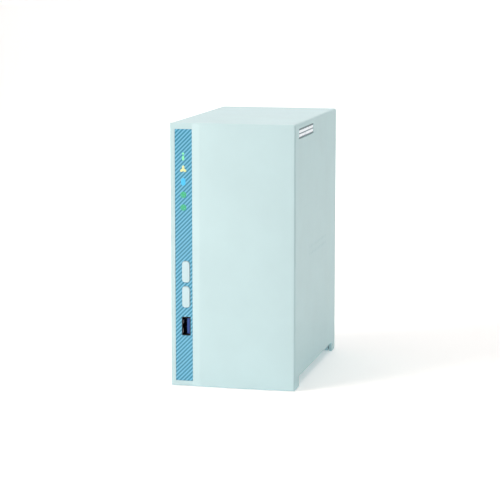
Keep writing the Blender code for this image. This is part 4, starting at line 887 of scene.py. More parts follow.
# ---------------------------------------------------------------- fan
def make_fan_frame():
    """The square frame: a flared duct, thinned sides, and a motor seat with a blank disc on four struts."""
    low, high, centre = measure("fan_frame")
    size, axis = high.x - low.x, (centre.x, centre.z)
    past = (low.y - 1 * MM, high.y + 1 * MM)
    body = piece("fan_housing", prism(rounded(size, size, 4.5 * MM, *axis), "Y", low.y, high.y), BLACK)
    bore, flare, depth = 38.0 * MM, 0.9 * MM, 2.4 * MM
    duct = [(0.0, past[0]), (bore + flare, past[0]), (bore + flare, low.y + 0.2 * MM)]
    duct += [(bore + 0.3 * flare, low.y + 0.5 * depth), (bore, low.y + depth), (bore, high.y - depth)]
    duct += [(bore + 0.3 * flare, high.y - 0.5 * depth), (bore + flare, high.y - 0.2 * MM)]
    duct += [(bore + flare, past[1]), (0.0, past[1])]
    cut(body, lathe(duct, "Y", axis, 96))
    corners = bmesh.new()
    for sx in (-1, 1):
        for sz in (-1, 1):
            hole = circle(2.2 * MM, centre.x + sx * 35.75 * MM, centre.z + sz * 35.75 * MM, 32)
            slab(corners, hole, "Y", *past)
    cut(body, corners)
    thinned = bmesh.new()
    for sx, sz in ((1, 0), (-1, 0), (0, 1), (0, -1)):
        width, height = (2.0 * MM, 52.0 * MM) if sx else (52.0 * MM, 2.0 * MM)
        outline = rounded(width, height, 0.8 * MM, centre.x + sx * size / 2, centre.z + sz * size / 2, 4)
        slab(thinned, outline, "Y", low.y + 3.5 * MM, high.y - 3.5 * MM)
    cut(body, thinned)
    seat = [(0.0, high.y - 16 * MM), (3.8 * MM, high.y - 16 * MM), (3.8 * MM, high.y - 3 * MM)]
    seat += [(17 * MM, high.y - 3 * MM), (17 * MM, high.y - 0.6 * MM), (16.4 * MM, high.y), (0.0, high.y)]
    join(body, lathe(seat, "Y", axis, 64))
    struts = bmesh.new()
    for i in range(4):
        angle = math.pi / 4 + i * math.pi / 2
        out, side = (math.cos(angle), math.sin(angle)), (-math.sin(angle), math.cos(angle))
        outline = []
        for reach, half in ((15, -1.9), (22, -1.25), (41, -1.1), (41, 1.1), (22, 1.25), (15, 1.9)):
            outline.append(tuple(axis[k] + (reach * out[k] + half * side[k]) * MM for k in (0, 1)))
        slab(struts, outline, "Y", high.y - 2.7 * MM, high.y - 0.3 * MM)
    join(body, struts)
    cut(body, prism(circle(1.58 * MM, *axis, 40), "Y", high.y - 20 * MM, high.y - 3.2 * MM))
    cut(body, prism(circle(14.6 * MM, *axis, 64), "Y", high.y - 0.25 * MM, past[1]))
    show(soften(body, 0.25 * MM, 2, 35), "black_plastic", "fan_frame")
    disc = prism(circle(14.3 * MM, *axis, 64), "Y", high.y - 0.25 * MM, high.y - 0.08 * MM)
    made("fan_seat_disc", disc, FERRITE, "bright_metal", edge=0.04 * MM)


def blade(bm, number, count, axis, middle_y, root, tip):
    """One swept and twisted blade with an aerofoil section."""
    stations, points, thickness = 12, 9, 1.9 * MM
    rings = []
    for i in range(stations):
        t = i / (stations - 1)
        radius = root + t * (tip - root)
        pitch, chord = math.radians(48 - 20 * t), (14.5 + 7.0 * t) * MM
        ring = []
        for face, order in ((1, range(points)), (-1, range(points - 1, -1, -1))):
            for k in order:
                s = k / (points - 1)
                half = thickness * (0.10 + 1.15 * math.sqrt(s) * (1 - s)) / 2
                along, across = (s - 0.5) * chord, face * half + 0.18 * chord * s * (1 - s)
                tangent = along * math.cos(pitch) - across * math.sin(pitch)
                axial = along * math.sin(pitch) + across * math.cos(pitch)
                angle = TAU * number / count + 0.25 * t + tangent / radius
                place = (axis[0] + radius * math.cos(angle), middle_y + axial,
                    axis[1] + radius * math.sin(angle))
                ring.append(bm.verts.new(place))
        rings.append(ring)
    skin(bm, rings)


def make_fan_motor():
    """The rotor cup with seven aerofoil blades, its steel shaft, and the wound core inside it."""
    axis = (FAN_X, FAN_Z)
    hub_front, hub_back = FAN_LOW.y + 2 * MM, FAN_HIGH.y - 4 * MM
    cup = scaled([(0.0, 0.4), (9.0, 0.4), (9.6, 0.0), (14.6, 0.0), (15.9, 0.4), (16.5, 1.5)], hub_front)
    cup += [(16.5 * MM, hub_back), (14.0 * MM, hub_back), *scaled([(14.0, 2.5), (0.0, 2.5)], hub_front)]
    rotor = piece("fan_impeller", lathe(cup, "Y", axis, 72), BLACK)
    blades = bmesh.new()
    for number in range(7):
        blade(blades, number, 7, axis, (hub_front + hub_back) / 2, 15.2 * MM, 36.9 * MM)
    join(rotor, blades)
    show(soften(rotor, angle=38), "black_plastic", "fan_rotor", body="fan_rotor")

    low, high = node_box("fan_shaft")
    radius = (high.x - low.x) / 2
    pin = [(0.0, low.y), (radius, low.y), (radius, high.y - 0.3 * MM), (radius - 0.3 * MM, high.y),
        (0.0, high.y)]
    made("fan_spindle", lathe(pin, "Y", axis, 40), NICKEL, "steel", "fan_shaft", body="fan_rotor")

    low, high = node_box("fan_stator")
    stack = (low.y + 1.4 * MM, high.y - 1.4 * MM)
    core = piece("fan_laminations", prism(circle(5.4 * MM, *axis, 40), "Y", *stack), ZINC)
    half_tooth = [(3, 1.6), (9.6, 1.6), (9.3, 5.6), (11.3, 1.9)]
    tooth = half_tooth + [(11.45, 0.0)] + [(u, -v) for u, v in reversed(half_tooth)]
    coils, collars = bmesh.new(), bmesh.new()
    for cos, sin in ((1, 0), (0, 1), (-1, 0), (0, -1)):
        swung = [
            [(axis[0] + (u * cos - v * sin) * MM, axis[1] + (u * sin + v * cos) * MM) for u, v in outline]
            for outline in (tooth, rounded(3.4, 6.4, 1.5, 7.4, 0.0, 6), rounded(0.5, 5.4, 0.2, 5.4, 0.0, 2))
        ]
        join(core, prism(swung[0], "Y", *stack))
        slab(coils, swung[1], "Y", low.y + 0.2 * MM, high.y - 0.2 * MM)
        slab(collars, swung[2], "Y", low.y, high.y)
    cut(core, prism(circle(3.9 * MM, *axis, 40), "Y", low.y - 1 * MM, high.y + 1 * MM))
    show(soften(core), "zinc_sheet", "fan_stator")
    made("fan_windings", coils, COPPER, "bright_metal", edge=0.6 * MM, segments=3)
    made("fan_coil_collars", collars, WHITE, "white_plastic", edge=0.1 * MM)


def make_fan_screws():
    """Pan-head screws along Y, each with a cross recess in its head and a threaded shank."""
    radius, head_height, shank = 3.4 * MM, 1.8 * MM, 1.8 * MM
    for name in FAN_SCREWS:
        low, high, centre = measure(name)
        head, x, z = high.y - head_height, centre.x, centre.z
        rise = high.y - head
        profile = [(0.0, low.y), (shank * 0.7, low.y)]
        turns = int((head - low.y) / (0.7 * MM))
        for i in range(turns):
            y = low.y + (head - low.y) * (i + 0.5) / turns
            profile += [(shank * 0.82, y - 0.2 * MM), (shank, y + 0.05 * MM)]
        profile += [(shank * 0.85, head), (radius, head), (radius, head + 0.35 * rise)]
        for share in (0.93, 0.8, 0.6, 0.35):
            profile.append((radius * share, head + rise * (0.35 + 0.65 * math.sqrt(1 - share**2))))
        profile.append((0.0, high.y))
        screw = piece(f"{name}_cross", lathe(profile, "Y", (x, z), 32), SCREW)
        arm, half = 0.56 * radius, 0.13 * radius
        for u, v in ((arm, half), (half, arm)):
            cut(screw, block((x - u, high.y - 0.6 * rise, z - v), (x + u, high.y + rise, z + v)))
        show(soften(screw, angle=35), "steel", name)


def smooth_route(points, per_span=8):
    """Points along a smooth curve through the given ones."""
    ends = [Vector(p) for p in (points[0], *points, points[-1])]
    route = []
    for a, b, c, d in zip(ends, ends[1:], ends[2:], ends[3:]):
        for i in range(per_span):
            t = i / per_span
            bend = 2 * a - 5 * b + 4 * c - d
            route.append(0.5 * (2 * b + (c - a) * t + bend * t**2 + (3 * b - a - 3 * c + d) * t**3))
    return route + [ends[-1]]


def make_fan_lead():
    """Three twisted wires from the fan to a small plug on the main board."""
    stops = ((-34.5, 0.7, 105.0), (-34.5, 3.5, 103.5), (-34.0, 5.5, 98.0), (-33.5, 6.5, 91.0),
        (-34.0, 7.0, 86.5))
    route = smooth_route([(x * MM, FAN_LOW.y - ahead * MM, z * MM) for x, ahead, z in stops])
    for number, finish in enumerate((SHEATH, RED_WIRE, YELLOW_WIRE)):
        places = []
        for i, point in enumerate(route):
            angle = TAU * (number / 3 + i / len(route) * 1.5)
            places.append(point + 0.50 * MM * Vector((math.cos(angle), math.sin(angle), 0.0)))
        stands_for = ("fan_lead",) if number == 0 else ()
        wire = tube(bmesh.new(), places, 0.42 * MM, 12)
        made(f"fan_wire_{number + 1}", wire, finish, "cable_sheath", *stands_for)
    end = route[-1]
    plug_low = (BOARD_FACE + 0.1 * MM, end.y - 3.6 * MM, end.z - 5.5 * MM)
    plug = piece("fan_plug", block(plug_low, (BOARD_FACE + 6.0 * MM, end.y + 3.6 * MM, end.z + 0.6 * MM)),
        WHITE)
    ribs = bmesh.new()
    for offset in (-2.4, 0.0, 2.4):
        middle = end.y + offset * MM
        rib_low = (BOARD_FACE + 5.4 * MM, middle - 0.7 * MM, end.z - 4.4 * MM)
        cuboid(ribs, rib_low, (BOARD_FACE + 7 * MM, middle + 0.7 * MM, end.z - 1.4 * MM))
    show(soften(cut(plug, ribs), 0.2 * MM), "white_plastic")


# ---------------------------------------------------------------- rear sockets
def make_lan():
    """The network socket: a folded shell, an insert with a stepped cavity, eight contacts and two lamps."""
    low, high, centre = measure("lan_socket")
    middle, past = (centre.x, centre.z), high.y + 1 * MM
    wall, gap = 0.3 * MM, 0.05 * MM
    outline = rounded(high.x - low.x, high.z - low.z, 0.7 * MM, *middle, 4)
    shell = piece("lan_folded_shell", prism(outline, "Y", low.y, high.y), NICKEL)
    bore = rounded(high.x - low.x - 2 * wall, high.z - low.z - 2 * wall, 0.5 * MM, *middle, 4)
    cut(shell, prism(bore, "Y", low.y + wall, past))
    springs = bmesh.new()
    for z in (low.z, high.z):
        for x in (low.x + 3.0 * MM, low.x + 6.4 * MM):
            cuboid(springs, (x, high.y - 9 * MM, z - 0.5 * MM),
                (x + 0.35 * MM, high.y - 3 * MM, z + 0.5 * MM))
    cut(shell, springs)
    show(soften(shell, 0.1 * MM, 2, 50), "steel", "lan_socket")

    face = high.y - 0.35 * MM
    size = (high.x - low.x - 2 * wall - 2 * gap, high.z - low.z - 2 * wall - 2 * gap)
    insert = piece("lan_insert", prism(rounded(*size, 0.4 * MM, *middle, 3), "Y", low.y + wall, face), BLACK)
    for near, far, half in ((1.8, 8.8, 5.9), (8.6, 10.5, 3.2)):
        cavity_low = (low.x + near * MM, face - 14.5 * MM, centre.z - half * MM)
        cut(insert, block(cavity_low, (low.x + far * MM, past, centre.z + half * MM)))
    lamp_zs = (centre.z - 5.2 * MM, centre.z + 5.2 * MM)
    windows = bmesh.new()
    for z in lamp_zs:
        cuboid(windows, (low.x + 9.9 * MM, face - 1.2 * MM, z - 1.3 * MM),
            (low.x + 12.3 * MM, high.y, z + 1.3 * MM))
    cut(insert, windows)
    show(soften(insert, 0.12 * MM, 2, 50), "black_plastic")
    for name, z, finish in zip(("green", "amber"), lamp_zs, (LAMP_GREEN, LAMP_AMBER)):
        lens = prism(rounded(2.2 * MM, 2.4 * MM, 0.4 * MM, low.x + 11.1 * MM, z, 3), "Y", face - 1.1 * MM,
            face)
        made(f"lan_lamp_{name}", lens, finish, "clear_acrylic", edge=0.1 * MM)
    wires = bmesh.new()
    for number in range(8):
        z = centre.z + (number - 3.5) * 1.02 * MM
        stops = ((1.9, 2.6), (2.1, 3.6), (4.6, 11.0), (5.0, 14.2))
        bend = [(low.x + x * MM, face - depth * MM, z) for x, depth in stops]
        tube(wires, smooth_route(bend, 4), 0.17 * MM, 8)
    made("lan_contacts", wires, GOLD, "steel")


def make_power_socket():
    """The low-voltage socket: a body with a round flared well, and a hollow pin."""
    low, high, centre = measure("power_socket")
    middle = (centre.x, centre.z)
    outline = rounded(high.x - low.x, high.z - low.z, 1.0 * MM, *middle, 4)
    body = piece("power_socket_body", prism(outline, "Y", low.y, high.y), BLACK)
    well = scaled([(0.0, -9), (3.3, -9), (3.3, -0.7), (3.9, 0.1), (3.9, 1), (0.0, 1)], high.y)
    cut(body, lathe(well, "Y", middle, 56))
    show(soften(body, 0.2 * MM, 2), "black_plastic", "power_socket")
    low, high, centre = measure("power_socket_pin")
    radius = (high.x - low.x) / 2
    pin = [(0.0, low.y), (radius, low.y), (radius, high.y - 0.6 * MM), (0.8 * radius, high.y - 0.15 * MM)]
    pin += [(0.5 * radius, high.y), (0.45 * radius, high.y - 1.2 * MM), (0.0, high.y - 1.2 * MM)]
    made("power_pin", lathe(pin, "Y", (centre.x, centre.z), 40), NICKEL, "bright_metal", "power_socket_pin")


def push_switch(name, towards, bore):
    """A tiny push switch along Y: a moulded body and a steel face, with one opening through both."""
    low, high, centre = measure(name)
    front, far = (low.y, high.y) if towards < 0 else (high.y, low.y)
    inner = front - towards * 0.35 * MM
    outline = rounded(high.x - low.x, high.z - low.z, 0.5 * MM, centre.x, centre.z, 4)
    opening = circle(bore, centre.x, centre.z, 32)
    body = piece(f"{name}_body", prism(outline, "Y", *sorted((inner, far))), BLACK)
    cut(body, prism(opening, "Y", *sorted((front + towards * MM, far + towards * 0.8 * MM))))
    show(soften(body, 0.12 * MM), "black_plastic", name)
    face = piece(f"{name}_face", prism(outline, "Y", *sorted((inner, front))), NICKEL)
    cut(face, prism(opening, "Y", *sorted((front + towards * MM, inner - towards * MM))))
    show(soften(face, 0.08 * MM), "steel")


def plunger(name, body, slot, towards, finish):
    """A push pin with a rounded tip."""
    low, high, centre = measure(name)
    radius, dome = (high.x - low.x) / 2, 0.3 * MM
    tip, root = (low.y, high.y) if towards < 0 else (high.y, low.y)
    profile = [(0.0, tip), (radius - dome, tip), (radius - 0.3 * dome, tip - towards * 0.3 * dome)]
    profile += [(radius, tip - towards * dome), (radius, root), (0.0, root)]
    made(f"{name}_pin", lathe(profile, "Y", (centre.x, centre.z), 36), finish, slot, name, body=body)


# ---------------------------------------------------------------- boards
TAKEN = (  # (low y, high y, low z, high z) of the parts on the main board, in millimetres
    (-24, 14, 37, 75), (-37, -23, 52, 68), (-38, -22, 75, 89), (21, 47, 17, 43), (-2, 22, 11, 20),
        (-80, -57, 34, 52),
    (50, 75, 14, 96), (-52, -44, 67, 81), (34, 50, 78, 96), (-55, -39, 17, 33), (-22, -4, 20, 34),
        (20, 46, 47, 70),
)


def free(y, z, margin):
    return all(not (a - margin < y < b + margin and c - margin < z < d + margin) for a, b, c, d in TAKEN)


def on_board(size_y, size_z, radius, y, z, low, high, steps, bm=None):
    """Adds a round-cornered block on the main board, in millimetres, low and high above its face."""
    outline = rounded(size_y * MM, size_z * MM, radius * MM, y * MM, z * MM, steps)
    target = bmesh.new() if bm is None else bm
    return slab(target, outline, "X", BOARD_FACE + low * MM, BOARD_FACE + high * MM)


def make_small_parts():
    """Rows of ceramic capacitors and resistors with tinned ends, wherever the board is free."""
    dice = random.Random(7)
    ceramics, resistors, ends = bmesh.new(), bmesh.new(), bmesh.new()
    for row in range(34):
        for column in range(52):
            y, z = -59 + 2.35 * column, 15.5 + 2.35 * row
            if y > 66 or z > 93 or not free(y, z, 1.3) or dice.random() > 0.34:
                continue
            upright, big = dice.random() < 0.5, dice.random() < 0.25
            length, width, rise = (1.8, 1.0, 0.8) if big else (1.2, 0.65, 0.45)
            body = ceramics if dice.random() < 0.6 else resistors
            for bm, start, stop, grow in ((body, -0.32, 0.32, 0.0), (ends, -0.5, -0.31, 0.03),
                    (ends, 0.31, 0.5, 0.03)):
                a, b, half = start * length, stop * length, width / 2 + grow
                sides = ((y - half, y + half), (z + a, z + b)) if upright else ((y + a, y + b),
                    (z - half, z + half))
                (y0, y1), (z0, z1) = sides
                cuboid(bm, (BOARD_FACE, y0 * MM, z0 * MM),
                    (BOARD_FACE + (rise + grow) * MM, y1 * MM, z1 * MM))
    made("ceramic_capacitors", ceramics, CERAMIC, "white_plastic", edge=0.05 * MM, segments=1)
    made("chip_resistors", resistors, BLACK, "black_plastic", edge=0.05 * MM, segments=1)
    made("tinned_ends", ends, TIN, "steel", edge=0.05 * MM, segments=1)


def make_main_board():
    """The upright board: capacitors, chokes, a crystal, packages, and solder joints behind its sockets."""
    keep("main_board", BOARD, 0.0)
    make_small_parts()
    cans, sleeves, chokes, coils = bmesh.new(), bmesh.new(), bmesh.new(), bmesh.new()
    rim = scaled([(0.0, 0.1), (3.2, 0.1), (3.2, 6.2), (3.0, 6.7), (2.6, 6.8), (2.4, 6.6), (0.0, 6.6)],
        BOARD_FACE)
    for y, z in ((-51, 21), (-43, 21), (-51, 29), (-43, 29)):
        turned(cans, rim, "X", (y * MM, z * MM), 36)
        on_board(7.0, 7.0, 0.9, y, z, 0.0, 0.9, 3, sleeves)
    for y in (-18, -9):
        on_board(7.4, 7.4, 1.6, y, 26.5, 0.0, 3.6, 4, chokes)
        slab(coils, circle(2.2 * MM, y * MM, 26.5 * MM, 32), "X", BOARD_FACE + 3.5 * MM,
            BOARD_FACE + 3.75 * MM)
    made("capacitor_cans", cans, MACHINED, "aluminium")
    made("capacitor_bases", sleeves, BLACK, "black_plastic", edge=0.15 * MM)
    made("chokes", chokes, FERRITE, "black_plastic", edge=0.4 * MM, segments=3)
    made("choke_caps", coils, FERRITE, "black_plastic", edge=0.08 * MM)

    crystal = on_board(10.6, 4.2, 2.0, 26, 66, 0.0, 3.2, 6)
    made("crystal_can", crystal, NICKEL, "steel", edge=0.4 * MM, segments=3)
    magnetics = on_board(9.0, 14.0, 0.4, 40, 58, 0.4, 5.2, 2)
    made("network_transformer", magnetics, BLACK, "black_plastic", edge=0.3 * MM)
    leads = bmesh.new()
    gull_wings(leads, 40, 58, 9.0, 14.0, 8, 0.5)
    gull_wings(leads, 27, 56, 7.0, 7.0, 10, 0.25)
    made("gull_wing_leads", leads, TIN, "steel")
    made("hub_chip", on_board(7.0, 7.0, 0.2, 27, 56, 0.15, 1.2, 2), EPOXY, "black_plastic", edge=0.12 * MM)

    joints = bmesh.new()
    cone = scaled([(0.0, -0.55), (0.25, -0.5), (0.35, -0.25), (0.75, 0.0), (0.0, 0.02)], BOARD_BACK)
    rows = [(56, 8, 59.0, 1.3), (62, 6, 59.0, 1.8), (60, 4, 79.0, 2.2), (60, 4, 38.5, 2.2),
        (-64, 4, 43.0, 2.2)]
    places = [(y, z + (i - (count - 1) / 2) * pitch) for y, count, z, pitch in rows for i in range(count)]
    places += [(10 + (i - 3.5) * 2.0, 16.2) for i in range(8)]
    for y, z in places:
        turned(joints, cone, "X", (y * MM, z * MM), 16)
    made("solder_joints", joints, TIN, "steel")


def gull_wings(bm, y, z, width, height, count, thick):
    """Adds the bent leads along the two Z-facing sides of a package on the main board, in millimetres."""
    for sign in (-1, 1):
        edge = z + sign * height / 2
        path = [(h, edge + sign * out) for h, out in ((0.75, -0.2), (0.75, 0.25), (0.12, 0.45), (0.12, 0.95))]
        for i in range(count):
            middle = y + (i - (count - 1) / 2) * (width - 1.0) / (count - 1)
            for (h0, z0), (h1, z1) in zip(path, path[1:]):
                low = (BOARD_FACE + (min(h0, h1) - 0.07) * MM, (middle - thick / 2) * MM,
                    (min(z0, z1) - 0.07) * MM)
                high = (BOARD_FACE + (max(h0, h1) + 0.07) * MM, (middle + thick / 2) * MM,
                    (max(z0, z1) + 0.07) * MM)
                cuboid(bm, low, high)


def chip(name, mark_radius):
    """A moulded package with softened edges and a round mark in one corner."""
    low, high, centre = measure(name)
    outline = rounded(high.y - low.y, high.z - low.z, 0.3 * MM, centre.y, centre.z, 3)
    package = piece(f"{name}_package", prism(outline, "X", low.x, high.x), EPOXY)
    mark = circle(mark_radius, low.y + 3 * mark_radius, high.z - 3 * mark_radius, 24)
    cut(package, prism(mark, "X", high.x - 0.12 * MM, high.x + 1 * MM))
    show(soften(package, 0.12 * MM), "black_plastic", name)


def make_cell():
    """The coin cell in its holder, under a sprung strap."""
    keep("cell_holder", BLACK, 0.3 * MM)
    low, high, centre = measure("coin_cell")
    radius = (high.z - low.z) / 2
    profile = [(0.0, low.x), (radius - 0.4 * MM, low.x), (radius, low.x + 0.4 * MM),
        (radius, high.x - 0.35 * MM)]
    profile += [(radius - 0.35 * MM, high.x - 0.1 * MM), (radius - 1.2 * MM, high.x - 0.1 * MM)]
    profile += [(radius - 1.4 * MM, high.x), (0.0, high.x)]
    made("coin_cell_can", lathe(profile, "X", (centre.y, centre.z), 56), NICKEL, "steel", "coin_cell")
    strap = rounded(3.4 * MM, 7.0 * MM, 0.8 * MM, centre.y, centre.z + 8.2 * MM, 3)
    made("cell_strap", prism(strap, "X", high.x + 0.02 * MM, high.x + 0.32 * MM), SCREW, "steel",
        edge=0.08 * MM)


def make_front_board():
    """The narrow board behind the strip, with its switches, lamps and the clear guide."""
    keep("front_board", BOARD, 0.0)
    face = node_box("front_board")[0].y
    emitters = bmesh.new()
    for z in LAMP_ZS:
        slab(emitters, rounded(1.6 * MM, 1.6 * MM, 0.3 * MM, LAMP_X, z, 3), "Y", face - 0.6 * MM, face)
    made("lamp_chips", emitters, WHITE, "white_plastic", edge=0.1 * MM)
    keep("light_guide", CLEAR, 0.12 * MM)
    for name in ("power", "copy"):
        push_switch(f"{name}_switch", -1, 1.9 * MM)
        plunger(f"{name}_switch_plunger", f"{name}_button", "black_plastic", -1, BLACK)
    push_switch("reset_switch", 1, 1.2 * MM)
    plunger("reset_plunger", "reset_button", "white_plastic", 1, WHITE)


def make_ribbon():
    """The flat ribbon: nine joined cores in one loose curve from the front board to the main board."""
    low, high = node_box("front_ribbon")
    start, end = Vector((-33.0 * MM, low.y)), Vector((low.x, high.y - 0.4 * MM))
    near, far = start + Vector((0.0, 10 * MM)), end + Vector((7 * MM, 0.0))
    steps, cores, radius = 24, 9, 0.34 * MM
    pitch = (high.z - low.z) / cores
    bm = bmesh.new()
    rings = []
    for i in range(steps + 1):
        t = i / steps
        point = (1 - t) ** 3 * start + 3 * (1 - t) ** 2 * t * near + 3 * (1 - t) * t**2 * far + t**3 * end
        ahead = 3 * (1 - t) ** 2 * (near - start) + 6 * (1 - t) * t * (far - near) + 3 * t**2 * (end - far)
        across = Vector((-ahead.y, ahead.x)).normalized()
        ring = []
        for sign, order in ((1, range(cores * 6 + 1)), (-1, range(cores * 6, -1, -1))):
            for k in order:
                rise = radius * (0.35 + 0.65 * math.sqrt(abs(math.sin(math.pi * k / 6))))
                place = point + sign * rise * across
                ring.append(bm.verts.new((place.x, place.y, low.z + pitch * k / 6)))
        rings.append(ring)
    made("ribbon_cable", skin(bm, rings), RIBBON, "white_plastic", "front_ribbon", angle=50)


# ---------------------------------------------------------------- drives
def make_drive_board():
    """The board under the cage, its two drive connectors with their contacts, and its plug."""
    keep("drive_board", BOARD, 0.1 * MM)
    keep("board_link", WHITE, 0.25 * MM)
    for name in ("drive_connector_1", "drive_connector_2"):
        keep(name, BLACK, 0.2 * MM)
        low, high = node_box(name)
        x, pitch = low.x + 2.05 * MM, 1.27
        blades = bmesh.new()
        for start, stop in ((-48.5, -33.0), (-31.0, -9.5)):
            count = int((stop - start - 2.0) / pitch) + 1
            for i in range(count):
                y = (start + stop) / 2 + (i - (count - 1) / 2) * pitch
                blade_low = (x, (y - 0.35) * MM, high.z - 4.6 * MM)
                cuboid(blades, blade_low, (x + 0.3 * MM, (y + 0.35) * MM, high.z - 0.4 * MM))
        made(f"{name}_contacts", blades, GOLD, "steel", edge=0.06 * MM)


def make_cage():
    """The folded cage, with its drive screws through both walls."""
    keep("drive_cage", ZINC)
    low, high = node_box("drive_cage")
    heads = bmesh.new()
    shape = [(0.0, 0.0), (2.9, 0.0), (2.9, 0.45), (2.5, 1.05), (1.7, 1.3), (1.0, 1.35), (1.0, 0.5),
        (0.0, 0.5)]
    for x, sign in ((low.x, -1), (high.x, 1)):
        for y in (-50.0, -10.5, 28.0):
            for z in (37.5 if y != -10.5 else 33.0, 126.0):
                turned(heads, scaled(shape, x, sign), "X", (y * MM, z * MM), 28)
    made("cage_screws", heads, SCREW, "steel", angle=35)


def make_drive_case(name):
    """A cast case with a round platter well, stepped sides and screw holes."""
    low, high, centre = measure(f"{name}_case")
    outline = rounded(high.y - low.y, high.z - low.z, 2.4 * MM, centre.y, centre.z, 5)
    case = piece(f"{name}_casting", prism(outline, "X", low.x, high.x), CASTING)
    well, past = 47.2 * MM, high.x + 1 * MM
    cut(case, prism(circle(well, centre.y, high.z - 3.5 * MM - well, 96), "X", high.x - 13 * MM, past))
    steps = bmesh.new()
    for y in (low.y, high.y):
        for z0, z1 in ((28, 56), (66, 106), (116, 152)):
            middle = low.z + (z0 + z1) / 2 * MM - 22 * MM
            step = rounded(9.0 * MM, (z1 - z0) * MM, 2.0 * MM, low.x + 14.0 * MM, middle, 4)
            slab(steps, step, "Y", y - 0.8 * MM, y + 0.8 * MM)
    cut(case, steps)
    holes = bmesh.new()
    hole = [(0.0, -1.0), (2.1, -1.0), (2.1, 0.05), (1.5, 0.6), (1.5, 4.0), (0.0, 4.6)]
    for y, inward in ((low.y, 1), (high.y, -1)):
        for z in (28.5, 61.0, 130.5):
            turned(holes, scaled(hole, y, inward), "Y", (low.x + 4.8 * MM, low.z + z * MM), 28)
    cut(case, holes)
    show(soften(case, 0.5 * MM, 3, 50), "aluminium", f"{name}_case")


def make_drive_lid(name):
    """A stamped lid with a round shallow field, a hub boss, six screws and a sunk blank label."""
    low, high, centre = measure(f"{name}_lid")
    past, label_z = high.x + 1 * MM, low.z + 26 * MM
    outline = rounded(high.y - low.y, high.z - low.z, 6.0 * MM, centre.y, centre.z, 6)
    lid = piece(f"{name}_cover_plate", prism(outline, "X", low.x, high.x), MACHINED)
    platter = (centre.y, high.z - 50.0 * MM)
    cut(lid, prism(circle(42.0 * MM, *platter, 96), "X", high.x - 0.35 * MM, past))
    join(lid, prism(circle(12.0 * MM, *platter, 48), "X", high.x - 0.5 * MM, high.x - 0.05 * MM))
    recess = rounded(62 * MM, 38 * MM, 3 * MM, centre.y, label_z, 4)
    cut(lid, prism(recess, "X", high.x - 0.35 * MM, past))
    screws, sockets = bmesh.new(), bmesh.new()
    inset = 5 * MM
    places = [(low.y + inset, low.z + inset), (high.y - inset, low.z + inset)]
    places += [(low.y + inset, high.z - inset), (high.y - inset, high.z - inset)]
    places += [(low.y + 4 * MM, centre.z - 20 * MM), (high.y - 4 * MM, centre.z - 20 * MM)]
    shape = [(0.0, -0.6), (2.5, -0.6), (2.5, -0.25), (2.2, -0.02), (1.2, -0.02), (1.1, -0.4), (0.0, -0.4)]
    for place in places:
        slab(sockets, circle(2.9 * MM, *place, 32), "X", high.x - 0.6 * MM, past)
        turned(screws, scaled(shape, high.x), "X", place, 36)
    cut(lid, sockets)
    show(soften(lid, 0.15 * MM, 2, 45), "bright_metal", f"{name}_lid")
    made(f"{name}_lid_screws", screws, SCREW, "steel", angle=35)
    label = prism(rounded(58 * MM, 34 * MM, 1.5 * MM, centre.y, label_z, 4), "X", high.x - 0.34 * MM,
        high.x - 0.2 * MM)
    made(f"{name}_blank_label", label, PAPER, "white_plastic", edge=0.03 * MM)


def make_inside():
    make_fan_frame()
    make_fan_motor()
    make_fan_screws()
    make_fan_lead()
    make_lan()
    make_power_socket()
    keep("lock_plate", ZINC)
    make_main_board()
    chip("processor", 0.6 * MM)
    chip("memory_chip", 0.4 * MM)
    chip("flash_chip", 0.4 * MM)
    keep("heat_sink", ANODISED)
    make_cell()
    make_front_board()
    make_ribbon()
    make_drive_board()
    make_cage()
    for name in ("drive_1", "drive_2"):
        make_drive_case(name)
        make_drive_lid(name)
        keep(f"{name}_board", BOARD, 0.1 * MM)


# ---------------------------------------------------------------- stage
def make_stage():
    """A pale sweep: a floor that curves up into a wall behind the unit."""
    bm = bmesh.new()
    reach, bend, steps = 3.0, 0.8, 16
    profile = [(-reach, 0.0)]
    for i in range(steps + 1):
        angle = math.pi / 2 * i / steps
        profile.append((1.8 + bend * math.sin(angle), bend * (1 - math.cos(angle))))
    profile.append((1.8 + bend, 3.0))
    rows = [[bm.verts.new((x, y, z)) for y, z in profile] for x in (-reach, reach)]
    for i in range(len(profile) - 1):
        bm.faces.new((rows[0][i], rows[1][i], rows[1][i + 1], rows[0][i + 1]))
    s = Shader("pale_sweep", 0.9, specular=0.1)
    s.colour(s.mix(s.spread(s.noise(0.5, 2.0), 0.0, 1.0), (0.93, 0.93, 0.93), (0.95, 0.95, 0.95)))
    s.shader.inputs["Emission Color"].default_value = (1.0, 1.0, 1.0, 1.0)
    s.shader.inputs["Emission Strength"].default_value = 0.28
    floor = piece("sweep", bm, s.material)
    floor.data.shade_smooth()


def aim(obj, target):
    obj.rotation_euler = (Vector(target) - obj.location).to_track_quat("-Z", "Y").to_euler()


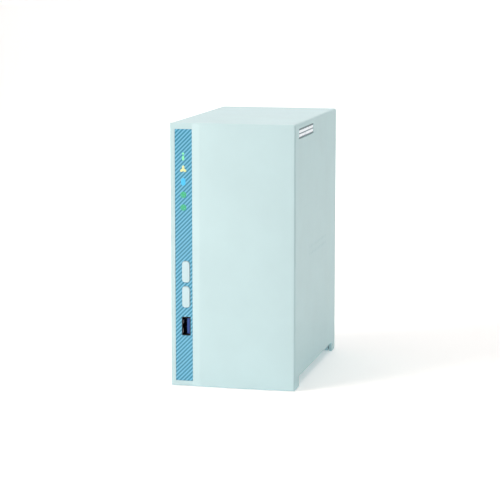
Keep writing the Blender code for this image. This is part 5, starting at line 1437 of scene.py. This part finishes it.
def softbox(name, place, target, size, power, colour=(1.0, 1.0, 1.0)):
    light = bpy.data.lights.new(name, "AREA")
    light.shape = "RECTANGLE"
    light.size, light.size_y = size
    light.energy = power
    light.color = colour
    obj = bpy.data.objects.new(name, light)
    obj.location = place
    bpy.context.scene.collection.objects.link(obj)
    aim(obj, target)
    return obj


def make_lights():
    middle = (0.0, 0.0, TOP / 2)
    softbox("key_left", (-1.12, -1.00, 0.70), middle, (0.8, 1.3), 22.5, (1.0, 0.86, 0.79))
    softbox("overhead", (0.0, 0.0, 1.7), middle, (1.8, 1.8), 21.3, (1.0, 0.93, 0.91))
    softbox("right_fill", (1.6, 0.4, 0.6), middle, (1.0, 1.2), 2.0, (0.52, 1.0, 0.76))
    softbox("wall_wash", (0.0, 0.7, 1.5), (0.0, 2.6, 0.7), (2.4, 0.5), 20.0)
    world = bpy.data.worlds.new("studio")
    world.use_nodes = True
    world.node_tree.nodes["Background"].inputs["Color"].default_value = (1.0, 1.0, 1.0, 1.0)
    world.node_tree.nodes["Background"].inputs["Strength"].default_value = 0.06
    bpy.context.scene.world = world
    bpy.context.scene.view_settings.view_transform = "Standard"


def make_camera():
    """The camera stands to the right of the front and a little above, and looks down on the unit."""
    data = bpy.data.cameras.new("camera")
    data.sensor_width = 36.0
    data.lens = 136.8
    camera = bpy.data.objects.new("camera", data)
    bpy.context.scene.collection.objects.link(camera)
    camera.location = (0.3103, -1.3621, 0.3015)
    turn, down = 0.2274, 0.1514
    camera.rotation_euler = (math.pi / 2 - down, 0.0, turn)
    bpy.context.scene.camera = camera


# ---------------------------------------------------------------- assembly
make_camera()
make_lights()
make_stage()
make_cover()
make_nameplate()
make_thumbscrews()
make_bezel()
make_strip()
make_keys()
make_legends()
make_usb("usb_front", 1, DARK_NICKEL, BLUE, "usb_blue")
make_usb("usb_rear_lower", -1, NICKEL, BLACK, "black_plastic")
make_usb("usb_rear_upper", -1, NICKEL, BLUE, "usb_blue")
make_base()
make_rear()
make_inside()
